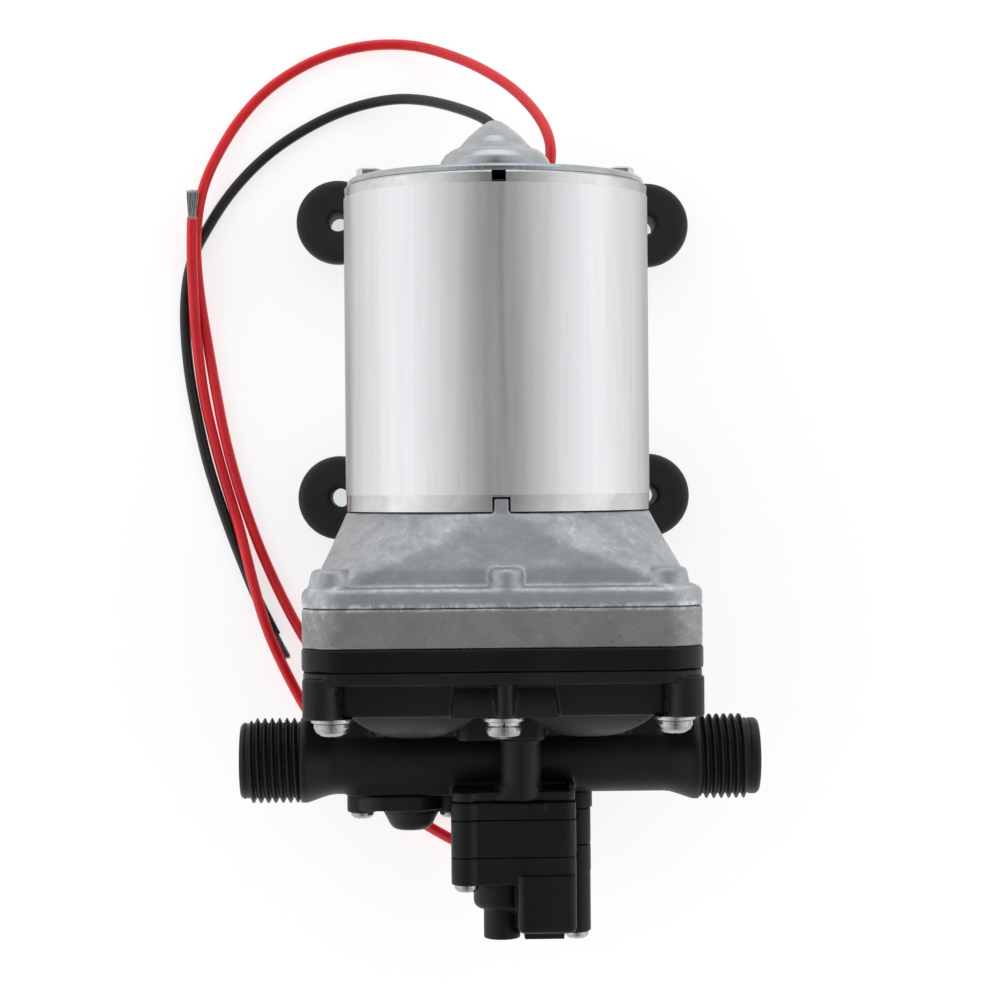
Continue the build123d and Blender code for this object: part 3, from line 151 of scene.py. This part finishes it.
def rounded(profile, radius_steps):
    """A closed profile's corners cut by small arcs: radius_steps is {index: radius}."""
    out = []
    n = len(profile)
    for i, p in enumerate(profile):
        r = radius_steps.get(i, 0)
        if not r:
            out.append(p)
            continue
        p = Vector(p)
        a, b = Vector(profile[i - 1]) - p, Vector(profile[(i + 1) % n]) - p
        ra, rb = min(r, a.length * 0.45), min(r, b.length * 0.45)
        s, e = p + a.normalized() * ra, p + b.normalized() * rb
        for k in range(6):
            t = k / 5
            out.append(tuple((1 - t) ** 2 * s + 2 * t * (1 - t) * p + t * t * e))
    return out


def ring_z(name, profile, centre, body, slot_name, segments=72):
    """A closed profile (radius, height) turned about the vertical through centre."""
    def at(i, j):
        r, h = profile[i]
        a = 2 * math.pi * j / segments
        return (centre[0] + r * math.cos(a), centre[1] + r * math.sin(a), h)
    return grid(len(profile), segments, at, close_rows=True)


def merge(parts):
    verts, faces = [], []
    for v, f in parts:
        k = len(verts)
        verts += v
        faces += [tuple(i + k for i in face) for face in f]
    return verts, faces


def tube_along(points, radius, sides=8):
    """A closed tube along points, with flat ends."""
    pts = [Vector(p) for p in points]
    n = len(pts)
    t0 = (pts[1] - pts[0]).normalized()
    u = t0.orthogonal().normalized()
    verts, faces = [], []
    for i, p in enumerate(pts):
        t = (pts[min(i + 1, n - 1)] - pts[max(i - 1, 0)]).normalized()
        u = (u - t * u.dot(t)).normalized()
        w = t.cross(u)
        r = radius * (0.72 if i in (0, n - 1) else 1)
        for k in range(sides):
            a = 2 * math.pi * k / sides
            verts.append(tuple(p + (u * math.cos(a) + w * math.sin(a)) * r))
    for i in range(n - 1):
        for k in range(sides):
            a, b = i * sides + k, i * sides + (k + 1) % sides
            faces.append((a, b, b + sides, a + sides))
    faces.append(tuple(range(sides - 1, -1, -1)))
    faces.append(tuple(range((n - 1) * sides, n * sides)))
    return verts, faces


# ------------------------------------------------------------------ threaded ports
def port(name, sign, end, thread_from, thread_to, crest0, pitch, lip_from):
    """One threaded port as a closed skin of revolution about the manifold's axis, with a right-hand thread.
    crest0 is the x of a crest on the upper side; end, thread_from, thread_to and lip_from are distances from x = 0."""
    bore, crest, root = 6.35, 10.3, 9.12
    # stations: (distance, radius, threaded)
    outer = [(40.3, 8.28), (40.9, 8.42), (42.0, 8.72), (43.2, 9.08), (44.4, 9.50), (45.6, 9.93), (46.4, 10.2), (46.9, 10.33), (47.6, 10.35),
             (48.1, 10.3), (48.35, 10.1), (48.45, 9.7), (48.5, 9.25)]
    stations = [(d, r, 0.0) for d, r in outer]
    n = int(round((thread_to - thread_from) / 0.11))
    for k in range(1, n + 1):
        d = thread_from + (thread_to - thread_from) * k / n
        stations.append((d, root, 1.0))
    stations += [(lip_from, 9.05, 0), (lip_from + 0.12, 9.2, 0), (lip_from + 0.3, 9.28, 0), (end - 0.95, 9.26, 0), (end - 0.65, 9.16, 0),
                 (end - 0.25, 8.86, 0), (end - 0.05, 8.6, 0), (end, 8.35, 0), (end, 7.0, 0), (end - 0.08, 6.75, 0), (end - 0.4, 6.45, 0),
                 (end - 0.9, bore, 0), (47.0, bore, 0), (40.3, bore, 0)]
    segments = 120

    def at(i, j):
        d, r, threaded = stations[i]
        a = 2 * math.pi * j / segments
        if threaded:
            x = sign * d
            # crest on the upper side (a = 90 degrees) at crest0
            phase = ((x - crest0) / pitch - (a / (2 * math.pi) - 0.25)) % 1.0
            off = min(phase, 1 - phase) * pitch      # distance from the crest line
            flank = 0.74
            h = 1.0 - max(0.0, off - 0.13) / (flank - 0.13)
            h = max(0.0, min(1.0, h))
            h = h * h * (3 - 2 * h) * 0.35 + h * 0.65
            fade = min(1.0, (d - thread_from) / 0.25, (thread_to - d) / 0.7)
            fade = max(0.0, fade)
            r = root + (crest - root) * h * fade
        return (sign * d, TUBE_Y + r * math.cos(a), AXIS_H + r * math.sin(a))

    verts, faces = grid(len(stations), segments, at, close_rows=True)
    if sign > 0:
        faces = [tuple(reversed(f)) for f in faces]
    return verts, faces


ports = mesh_piece("threaded_ports", *merge([
    port("inlet", -1, 62.95, 48.55, 60.95, -49.55, 1.79, 61.6),
    port("outlet", 1, 62.95, 48.55, 60.1, 49.87, 1.814, 60.5)]), "pump", "pump_head_black")
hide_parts("manifold_ports")

# ------------------------------------------------------------------ rubber feet: soft shouldered bushes with a waist that grips the plate
FOOT = rounded([(2.45, 0.0), (8.4, 0.0), (8.9, 0.6), (9.4, 9.3), (8.8, 9.95), (6.0, 9.95), (6.0, 12.05), (10.1, 12.05), (10.9, 12.9), (10.9, 15.5),
                (10.55, 16.9), (9.6, 17.8), (8.0, 18.08), (3.4, 18.08), (2.45, 17.3)],
               {1: 0.4, 2: 0.3, 3: 0.3, 4: 0.3, 5: 0.3, 6: 0.3, 7: 0.4, 8: 0.5, 9: 0.8, 10: 0.8, 11: 0.8, 12: 0.9, 13: 0.4, 14: 0.4})
feet = mesh_piece("moulded_feet", *merge([ring_z("foot", FOOT, (x, y), "pump", "foot_rubber", 96)
                                          for x, y in ((40.35, 34.9), (-39.95, 36.1), (40.05, -35.6), (-40.05, -35.6))]), "pump", "foot_rubber")
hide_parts("rubber_feet")

# ------------------------------------------------------------------ drive housing's key in the can's front slot
def key(top):
    half, y0, y1, r0, r1 = 1.62, -40.5, -35.72, 35.2, 36.72
    cols = 17
    ys = [y0 + (y1 - 0.35 - y0) * k / 8 for k in range(9)] + [y1 - 0.22, y1 - 0.1, y1 - 0.03, y1]
    pull = [0] * 9 + [0.06, 0.16, 0.3, 0.45]

    def at(i, j):
        # around the key's section: top face left to right, then the underside back
        y = ys[i]
        m = 2 * cols
        if j < cols:
            t, r = -1 + 2 * j / (cols - 1), r1
            edge = max(0.0, abs(t) - 0.86) / 0.14
            r -= 0.16 * edge * edge + pull[i] * 0.4
        else:
            t, r = 1 - 2 * (j - cols) / (cols - 1), r0
        w = (half - pull[i] * 0.6) / r1
        a = math.pi / 2 - t * w
        s = 1 if top else -1
        return (s * r * math.cos(a), y, AXIS_H + s * r * math.sin(a))
    verts, faces = grid(len(ys), 2 * cols, at)
    n = 2 * cols
    faces.append(tuple(range(n)))
    faces.append(tuple(reversed(range((len(ys) - 1) * n, len(ys) * n))))
    return verts, faces


keys = mesh_piece("housing_keys", *merge([key(True), key(False)]), "pump", "cast_aluminium_drive")

# ------------------------------------------------------------------ stripped ends: tinned strands that spread
rng = np.random.default_rng(11)


def strands(start, way, side, up, length, spread, lift, count, radius):
    parts = []
    way, side, up = Vector(way).normalized(), Vector(side).normalized(), Vector(up).normalized()
    for k in range(count):
        a = 2 * math.pi * (k * 0.618034)
        rr = 0.86 * math.sqrt((k + 0.5) / count)
        b0 = (rr * math.cos(a), rr * math.sin(a))
        b1 = (spread * math.cos(a) * rr / 0.86 + rng.uniform(-0.12, 0.12), lift * math.sin(a) * rr / 0.86)
        reach = length * (1 + rng.uniform(-0.055, 0.02))
        twist = 0.55
        pts = []
        for i in range(15):
            t = i / 14
            c, s = math.cos(twist * (1 - t) ** 1.5), math.sin(twist * (1 - t) ** 1.5)
            e = t * t * (3 - 2 * t) * 0.55 + t * 0.45
            px = (b0[0] * c - b0[1] * s) * (1 - e) + b1[0] * e
            py = (b0[0] * s + b0[1] * c) * (1 - e) + b1[1] * e
            wob = 0.05 * math.sin(6.0 * t + k)
            pts.append(Vector(start) + way * (-2.2 + (reach + 2.2) * t) + side * (px + wob) + up * py)
        parts.append(tube_along(pts, radius, 7))
    return parts


red_start = Vector(RED_SUPPLY[0])
red_way = Vector((0.02, 0.985, -0.17)).normalized()
black_start = Vector(BLACK_SUPPLY[-1])
black_way = Vector((BLACK_SUPPLY[-1][0] - BLACK_SUPPLY[-2][0], BLACK_SUPPLY[-1][1] - BLACK_SUPPLY[-2][1], 0)).normalized()
strand_parts = strands(red_start, red_way, (1, 0, 0), red_way.cross(Vector((1, 0, 0))) * -1, 7.7, 1.62, 0.75, 26, 0.15)
strand_parts += strands(black_start, black_way, black_way.cross(Vector((0, 0, 1))), (0, 0, 1), 7.3, 0.95, 0.7, 22, 0.15)
strand_piece = mesh_piece("bare_strands", *merge(strand_parts), "pump", "tinned_copper")
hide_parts("bare_lead_ends")


def cut_rim(start, way):
    """The cut face of the insulation: a short ring, slightly flared by the stripping tool."""
    start, way = Vector(start), Vector(way).normalized()
    u = way.orthogonal().normalized()
    w = way.cross(u)
    prof = rounded([(0.98, -0.5), (1.41, -0.5), (1.43, 0.16), (1.22, 0.34), (0.98, 0.2)], {2: 0.12, 3: 0.1, 4: 0.06})
    segments = 48

    def at(i, j):
        r, d = prof[i]
        a = 2 * math.pi * j / segments
        d = d + 0.05 * math.sin(2 * a + 1) + 0.03 * math.sin(5 * a)
        return tuple(start + way * d + (u * math.cos(a) + w * math.sin(a)) * r)
    return grid(len(prof), segments, at, close_rows=True)


def end_way(a, b):
    return (Vector(a) - Vector(b)).normalized()


red_rim = mesh_piece("red_cut_rim", *cut_rim(red_start, end_way(RED_SUPPLY[0], RED_SUPPLY[1])), "pump", "red_insulation")
black_rim = mesh_piece("black_cut_rim", *cut_rim(black_start, end_way(BLACK_SUPPLY[-1], BLACK_SUPPLY[-2])), "pump", "black_insulation")


# ------------------------------------------------------------------ soft edges on cast and moulded pieces
def soften(node, voxel, turns, factor=0.5, rough=None, keep=None):
    """Rounds the sharp edges that a casting or moulding never has: even mesh, then smoothing, then a cast skin."""
    o = nodes[node]
    m = o.modifiers.new("even", "REMESH")
    m.mode = "VOXEL"
    m.voxel_size = voxel * MM
    m.use_smooth_shade = True
    s = o.modifiers.new("soft", "SMOOTH")
    s.factor = factor
    s.iterations = turns
    if rough:
        for k, (scale, strength) in enumerate(rough):
            t = bpy.data.textures.new(f"{node}_skin_{k}", "CLOUDS")
            t.noise_scale = scale * MM
            t.noise_depth = 2
            d = o.modifiers.new(f"skin_{k}", "DISPLACE")
            d.texture = t
            d.texture_coords = "LOCAL"
            d.strength = strength * MM
            d.mid_level = 0.5
    if keep:
        d = o.modifiers.new("lighter", "DECIMATE")
        d.ratio = keep


soften("drive_housing", 0.42, 5, rough=[(5.0, 0.22), (1.2, 0.10)], keep=0.5)
soften("diaphragm_plate", 0.42, 3, rough=[(6.0, 0.14), (1.2, 0.09)], keep=0.5)
soften("valve_housing", 0.42, 4, keep=0.4)
soften("pump_head", 0.40, 5, keep=0.5)
soften("bypass_cover", 0.22, 5)
soften("switch_base", 0.28, 4)
soften("switch_housing", 0.28, 4)
soften("switch_cover", 0.28, 4)
soften("rear_end_bell", 0.30, 4)
soften("head_screws", 0.17, 3, keep=0.5)
soften("bypass_screws", 0.15, 3)
soften("switch_screws", 0.15, 3)
soften("head_washers", 0.16, 2, keep=0.5)


# ------------------------------------------------------------------ materials
class Mat:
    """A procedural material, with short names for the nodes it is made of."""

    def __init__(self, name, metal=0.0, spec=0.5, tint=None, coat=0.0, coat_rough=0.1, sheen=0.0):
        self.m = bpy.data.materials.new(name)
        self.m.use_nodes = True
        self.nt = self.m.node_tree
        self.p = self.nt.nodes["Principled BSDF"]
        self.p.inputs["Metallic"].default_value = metal
        self.p.inputs["Specular IOR Level"].default_value = spec
        if tint:
            self.p.inputs["Specular Tint"].default_value = (*tint, 1)
        self.p.inputs["Coat Weight"].default_value = coat
        self.p.inputs["Coat Roughness"].default_value = coat_rough
        self.p.inputs["Sheen Weight"].default_value = sheen
        self.co = self.nt.nodes.new("ShaderNodeTexCoord").outputs["Object"]

    def new(self, kind, **inputs):
        n = self.nt.nodes.new(kind)
        for k, v in inputs.items():
            n.inputs[k.replace("_", " ")].default_value = v
        return n

    def link(self, a, b):
        self.nt.links.new(a, b)

    def stretched(self, sx, sy, sz):
        n = self.new("ShaderNodeMapping")
        n.inputs["Scale"].default_value = (sx, sy, sz)
        self.link(self.co, n.inputs["Vector"])
        return n.outputs["Vector"]

    def noise(self, scale, detail=4, rough=0.5, vector=None, distortion=0.0):
        n = self.new("ShaderNodeTexNoise", Scale=scale, Detail=detail, Roughness=rough, Distortion=distortion)
        self.link(vector or self.co, n.inputs["Vector"])
        return n.outputs["Fac"]

    def cells(self, scale, feature="F1"):
        n = self.new("ShaderNodeTexVoronoi", Scale=scale)
        n.feature = feature
        self.link(self.co, n.inputs["Vector"])
        return n.outputs["Distance"]

    def ramp(self, value, lo, hi, to_lo=0.0, to_hi=1.0):
        n = self.new("ShaderNodeMapRange")
        n.interpolation_type = "SMOOTHSTEP"
        n.inputs["From Min"].default_value = lo
        n.inputs["From Max"].default_value = hi
        n.inputs["To Min"].default_value = to_lo
        n.inputs["To Max"].default_value = to_hi
        self.link(value, n.inputs["Value"])
        return n.outputs["Result"]

    def math(self, op, a, b):
        n = self.nt.nodes.new("ShaderNodeMath")
        n.operation = op
        for i, v in enumerate((a, b)):
            if isinstance(v, (int, float)):
                n.inputs[i].default_value = v
            else:
                self.link(v, n.inputs[i])
        return n.outputs[0]

    def mix(self, factor, a, b):
        n = self.nt.nodes.new("ShaderNodeMix")
        n.data_type = "RGBA"
        self.link(factor, n.inputs["Factor"])
        for key_, v in (("A", a), ("B", b)):
            if isinstance(v, tuple):
                n.inputs[key_].default_value = (*v, 1)
            else:
                self.link(v, n.inputs[key_])
        return n.outputs["Result"]

    def axis(self, which):
        n = self.nt.nodes.new("ShaderNodeSeparateXYZ")
        self.link(self.co, n.inputs[0])
        return n.outputs[which]

    def colour(self, value):
        self.link(value, self.p.inputs["Base Color"])

    def rough(self, value):
        self.link(value, self.p.inputs["Roughness"])

    def bump(self, layers):
        """layers: (height, strength, distance in mm)"""
        last = None
        for height, strength, distance in layers:
            b = self.new("ShaderNodeBump", Strength=strength, Distance=distance * MM)
            self.link(height, b.inputs["Height"])
            if last:
                self.link(last, b.inputs["Normal"])
            last = b.outputs["Normal"]
        self.link(last, self.p.inputs["Normal"])


def plain(name, base, rough, metal=0.0, var=0.12, scale=250.0, grain=2200.0, bump=0.12, spec=0.5, other=None, tint=None, coat=0.0):
    """A general finish: two tones broken by noise, uneven gloss and a fine grain."""
    k = Mat(name, metal=metal, spec=spec, tint=tint, coat=coat)
    n = k.noise(scale, 6, 0.6)
    fine = k.noise(grain, 3, 0.6)
    dark = tuple(c * (1 - var) for c in base)
    light = other or tuple(min(1, c * (1 + var)) for c in base)
    k.colour(k.mix(k.ramp(n, 0.32, 0.68), dark, light))
    k.rough(k.math("ADD", k.ramp(n, 0.3, 0.7, rough * 0.85, rough * 1.12), k.ramp(fine, 0.3, 0.7, -0.03, 0.03)))
    k.bump([(n, bump, 0.05), (fine, bump, 0.02)])
    return k.m


def foil():
    k = Mat("foil_label", metal=0.92, spec=0.5, tint=(0.42, 0.42, 0.42))
    streak = k.noise(420, 3, 0.55, vector=k.stretched(1, 0.035, 1))
    cloud = k.noise(45, 4, 0.5)
    grain = k.noise(5200, 2, 0.5)
    col = k.mix(k.ramp(streak, 0.3, 0.7), (0.690, 0.692, 0.70), (0.76, 0.762, 0.768))
    col = k.mix(k.ramp(cloud, 0.35, 0.7, 0, 0.25), col, (0.70, 0.70, 0.708))
    k.colour(col)
    k.rough(k.math("ADD", k.ramp(streak, 0.3, 0.7, 0.29, 0.35), k.ramp(grain, 0.3, 0.7, -0.03, 0.03)))
    k.bump([(cloud, 0.10, 0.3), (grain, 0.04, 0.006)])
    return k.m


def zinc(name, dark, light, rough, tint=None):
    """Zinc plating: bright, with faint clouds, drawn marks and specks."""
    k = Mat(name, metal=1.0, tint=tint)
    cloud = k.noise(120, 6, 0.62)
    drawn = k.noise(700, 3, 0.6, vector=k.stretched(1, 0.05, 1))
    speck = k.cells(900)
    col = k.mix(k.ramp(cloud, 0.32, 0.68), dark, light)
    col = k.mix(k.ramp(speck, 0.0, 0.16, 0.35, 0.0), col, tuple(c * 0.62 for c in dark))
    k.colour(col)
    k.rough(k.math("ADD", k.ramp(cloud, 0.3, 0.7, rough * 0.8, rough * 1.3), k.ramp(drawn, 0.3, 0.7, -0.03, 0.04)))
    k.bump([(drawn, 0.08, 0.03), (cloud, 0.12, 0.12)])
    return k.m


def cast(name, dark, mid, light, rough, edges, pits=0.5):
    """Die-cast aluminium: mottled skin, flow marks, small pits, and bright lines at the given (y, width) lines in mm,
    broken by noise: painted edge highlights, partly chipped metal.
    """
    k = Mat(name, metal=0.82, spec=0.45)
    big = k.noise(95, 7, 0.66, distortion=0.6)
    small = k.noise(520, 6, 0.7, distortion=0.3)
    fine = k.noise(2600, 3, 0.6)
    spots = k.cells(430)
    col = k.mix(k.ramp(big, 0.34, 0.66), dark, mid)
    col = k.mix(k.math("MULTIPLY", k.ramp(small, 0.50, 0.72), k.ramp(big, 0.40, 0.62, 0.25, 0.9)), col, light)
    col = k.mix(k.math("MULTIPLY", k.ramp(spots, 0.02, 0.22, pits, 0.0), k.ramp(small, 0.45, 0.6)), col, tuple(c * 0.45 for c in dark))
    # painted edge highlights: bright lines across the given y lines, broken by noise, partly chipped metal
    y = k.axis(1)
    bright = None
    for at, width, strength in edges:
        d = k.math("ABSOLUTE", k.math("SUBTRACT", y, at * MM), 0.0)
        line = k.ramp(d, 0.0, width * MM, 1.0, 0.0)
        chipped_highlight = k.ramp(k.noise(240, 6, 0.75, distortion=0.8), 0.44, 0.60, 0.10, 1.0)
        line = k.math("MULTIPLY", k.math("MULTIPLY", line, chipped_highlight), strength)
        bright = line if bright is None else k.math("MAXIMUM", bright, line)
    if bright is not None:
        col = k.mix(bright, col, tuple(min(1, c * 1.35) for c in light))
    k.colour(col)
    k.rough(k.math("ADD", k.ramp(big, 0.3, 0.7, rough * 1.1, rough * 0.85), k.ramp(small, 0.35, 0.7, 0.06, -0.07)))
    k.bump([(big, 0.18, 0.35), (small, 0.30, 0.12), (fine, 0.22, 0.03)])
    return k.m


def black_plastic(name, base, rough, spec=0.42, light=1.5, grain=0.10):
    """Moulded glass-filled plastic: satin black, flow clouds and a fine grain."""
    k = Mat(name, spec=spec)
    cloud = k.noise(60, 5, 0.6, distortion=0.4)
    mid = k.noise(420, 5, 0.6)
    fine = k.noise(3600, 3, 0.6)
    col = k.mix(k.ramp(cloud, 0.3, 0.7), base, tuple(c * light for c in base))
    k.colour(col)
    k.rough(k.math("ADD", k.ramp(cloud, 0.3, 0.7, rough * 0.88, rough * 1.12), k.ramp(mid, 0.3, 0.7, -0.025, 0.035)))
    k.bump([(mid, 0.06, 0.06), (fine, grain, 0.015)])
    return k.m


def rubber(name, base, rough):
    k = Mat(name, spec=0.3, sheen=0.04)
    cloud = k.noise(150, 6, 0.65)
    fine = k.noise(2400, 4, 0.7)
    dust = k.noise(900, 6, 0.75)
    col = k.mix(k.ramp(cloud, 0.3, 0.7), base, tuple(c * 1.45 for c in base))
    col = k.mix(k.ramp(dust, 0.60, 0.78, 0.0, 0.35), col, tuple(c * 3.0 for c in base))
    k.colour(col)
    k.rough(k.ramp(cloud, 0.3, 0.7, rough * 0.9, rough * 1.1))
    k.bump([(cloud, 0.08, 0.1), (fine, 0.2, 0.03)])
    return k.m


def steel(name, dark, light, rough):
    """Bright stainless fasteners with turning marks and fine scratches."""
    k = Mat(name, metal=1.0)
    cloud = k.noise(380, 6, 0.65)
    scratch = k.noise(1500, 3, 0.6, vector=k.stretched(0.25, 1.6, 1))
    k.colour(k.mix(k.ramp(cloud, 0.32, 0.68), dark, light))
    k.rough(k.math("ADD", k.ramp(cloud, 0.3, 0.7, rough * 0.8, rough * 1.25), k.ramp(scratch, 0.3, 0.7, -0.03, 0.05)))
    k.bump([(scratch, 0.10, 0.02), (cloud, 0.10, 0.05)])
    return k.m


def pvc(name, base, other, rough):
    k = Mat(name, spec=0.45)
    cloud = k.noise(130, 5, 0.6)
    mid = k.noise(900, 4, 0.6)
    fine = k.noise(3000, 3, 0.6)
    k.colour(k.mix(k.ramp(cloud, 0.3, 0.7), base, other))
    k.rough(k.math("ADD", k.ramp(cloud, 0.3, 0.7, rough * 0.85, rough * 1.15), k.ramp(mid, 0.3, 0.7, -0.03, 0.04)))
    k.bump([(mid, 0.025, 0.05), (fine, 0.05, 0.01)])
    return k.m


mats = {
    "foil_label": foil(),
    "zinc_plated_can": zinc("zinc_plated_can", (0.56, 0.565, 0.545), (0.68, 0.685, 0.665), 0.17, tint=(0.5, 0.5, 0.5)),
    "zinc_end_bell": zinc("zinc_end_bell", (0.34, 0.36, 0.375), (0.43, 0.455, 0.47), 0.20),
    "plated_steel": zinc("plated_steel", (0.50, 0.51, 0.50), (0.66, 0.67, 0.66), 0.24),
    # the (y, width, strength) lists are painted edge highlights along the flange and plate edges, partly chipped metal
    "cast_aluminium_drive": cast("cast_aluminium_drive", (0.345, 0.355, 0.370), (0.43, 0.442, 0.458), (0.57, 0.585, 0.60), 0.50,
                                 [(-59.85, 1.15, 1.0), (-56.0, 0.45, 0.45)], pits=0.35),
    "cast_aluminium_plate": cast("cast_aluminium_plate", (0.255, 0.255, 0.258), (0.325, 0.325, 0.327), (0.44, 0.44, 0.44), 0.50,
                                 [(-60.75, 0.55, 0.8), (-69.1, 0.3, 0.35)], pits=0.7),
    "valve_housing_black": black_plastic("valve_housing_black", (0.0036, 0.0033, 0.0037), 0.40, spec=0.22),
    "pump_head_black": black_plastic("pump_head_black", (0.0075, 0.0073, 0.0082), 0.42, spec=0.26),
    "switch_black": black_plastic("switch_black", (0.0044, 0.0044, 0.0048), 0.45, spec=0.24),
    "foot_rubber": rubber("foot_rubber", (0.012, 0.0118, 0.0120), 0.60),
    "black_rubber": rubber("black_rubber", (0.013, 0.013, 0.013), 0.55),
    "stainless_screws": steel("stainless_screws", (0.36, 0.35, 0.335), (0.46, 0.45, 0.43), 0.22),
    "stainless_washers": steel("stainless_washers", (0.42, 0.41, 0.40), (0.54, 0.53, 0.51), 0.22),
    "adjuster_steel": steel("adjuster_steel", (0.45, 0.45, 0.44), (0.6, 0.6, 0.58), 0.3),
    "ground_steel": steel("ground_steel", (0.52, 0.52, 0.52), (0.66, 0.66, 0.66), 0.18),
    "bearing_steel": steel("bearing_steel", (0.5, 0.5, 0.5), (0.64, 0.64, 0.64), 0.2),
    "spring_steel": steel("spring_steel", (0.42, 0.42, 0.42), (0.55, 0.55, 0.55), 0.28),
    "red_insulation": pvc("red_insulation", (0.74, 0.0100, 0.020), (0.84, 0.016, 0.026), 0.32),
    "black_insulation": pvc("black_insulation", (0.0080, 0.0080, 0.0085), (0.0125, 0.0125, 0.013), 0.36),
    "tinned_copper": steel("tinned_copper", (0.26, 0.26, 0.27), (0.42, 0.42, 0.42), 0.36),
    "sintered_bronze": plain("sintered_bronze", (0.42, 0.28, 0.13), 0.45, 1.0, var=0.2, scale=900),
    "ferrite": plain("ferrite", (0.045, 0.045, 0.05), 0.6, 0.1, var=0.25, scale=500),
    "phenolic": plain("phenolic", (0.16, 0.075, 0.03), 0.5, var=0.2, scale=350),
    "brass": plain("brass", (0.62, 0.44, 0.16), 0.28, 1.0, var=0.12, scale=300),
    "carbon": plain("carbon", (0.03, 0.03, 0.033), 0.55, 0.2, var=0.3, scale=800),
    "laminated_steel": plain("laminated_steel", (0.30, 0.30, 0.31), 0.4, 1.0, var=0.2, scale=300),
    "enamelled_copper": plain("enamelled_copper", (0.52, 0.20, 0.07), 0.3, 0.85, var=0.2, scale=600, coat=0.4),
    "commutator_copper": plain("commutator_copper", (0.62, 0.33, 0.18), 0.3, 1.0, var=0.15, scale=500),
    "zinc_casting": plain("zinc_casting", (0.42, 0.43, 0.44), 0.42, 0.9, var=0.15, scale=300),
    "glass_filled_nylon": plain("glass_filled_nylon", (0.5, 0.47, 0.40), 0.5, var=0.12, scale=300),
    "acetal": plain("acetal", (0.72, 0.71, 0.67), 0.4, var=0.05, scale=300),
    "switch_body": plain("switch_body", (0.05, 0.05, 0.052), 0.4, var=0.2, scale=300),
}

for sub in frame["record"]["subparts"]:
    o = nodes[sub["node"]]
    o.data.materials.clear()
    o.data.materials.append(mats[sub["material_slot"]])
for o, s in ((red_link, "red_insulation"), (red_supply, "red_insulation"), (black_supply, "black_insulation"), (ports, "pump_head_black"),
             (feet, "foot_rubber"), (keys, "cast_aluminium_drive"), (strand_piece, "tinned_copper"), (black_rim, "black_insulation")):
    o.data.materials.append(mats[s])
red_rim.data.materials.append(pvc("cut_insulation", (0.62, 0.12, 0.13), (0.74, 0.26, 0.26), 0.45))

# ------------------------------------------------------------------ floor and light
bpy.ops.mesh.primitive_plane_add(size=6, location=(0, 0, -0.0002))
floor = bpy.context.object
floor.name = "floor"
fm = bpy.data.materials.new("floor")
fm.use_nodes = True
fp = fm.node_tree.nodes["Principled BSDF"]
fp.inputs["Base Color"].default_value = (0.52, 0.52, 0.52, 1)
fp.inputs["Roughness"].default_value = 0.95
fp.inputs["Specular IOR Level"].default_value = 0.1
fp.inputs["Emission Color"].default_value = (1, 1, 1, 1)
fp.inputs["Emission Strength"].default_value = 0.685
floor.data.materials.append(fm)

world = bpy.data.worlds.new("studio")
scene.world = world
world.use_nodes = True
wt = world.node_tree
wco = wt.nodes.new("ShaderNodeTexCoord")
wsep = wt.nodes.new("ShaderNodeSeparateXYZ")
wt.links.new(wco.outputs["Generated"], wsep.inputs[0])


def wmath(op, a, b):
    n = wt.nodes.new("ShaderNodeMath")
    n.operation = op
    for i, v in enumerate((a, b)):
        if isinstance(v, (int, float)):
            n.inputs[i].default_value = v
        else:
            wt.links.new(v, n.inputs[i])
    return n.outputs[0]


side = wmath("POWER", wmath("ABSOLUTE", wsep.outputs["X"], 0), 1.15)
back = wmath("POWER", wmath("MAXIMUM", wsep.outputs["Y"], 0), 5.0)
front = wmath("MAXIMUM", wmath("MULTIPLY", wsep.outputs["Y"], -1), 0)
total = wmath("ADD", wmath("MULTIPLY", side, 1.16), wmath("MULTIPLY", back, 1.7))
total = wmath("ADD", total, wmath("MULTIPLY", front, 0.16))
total = wmath("ADD", total, 0.17)
wt.nodes["Background"].inputs["Color"].default_value = (0.97, 0.985, 1.0, 1)
wt.links.new(total, wt.nodes["Background"].inputs["Strength"])

scene.view_settings.view_transform = "Standard"
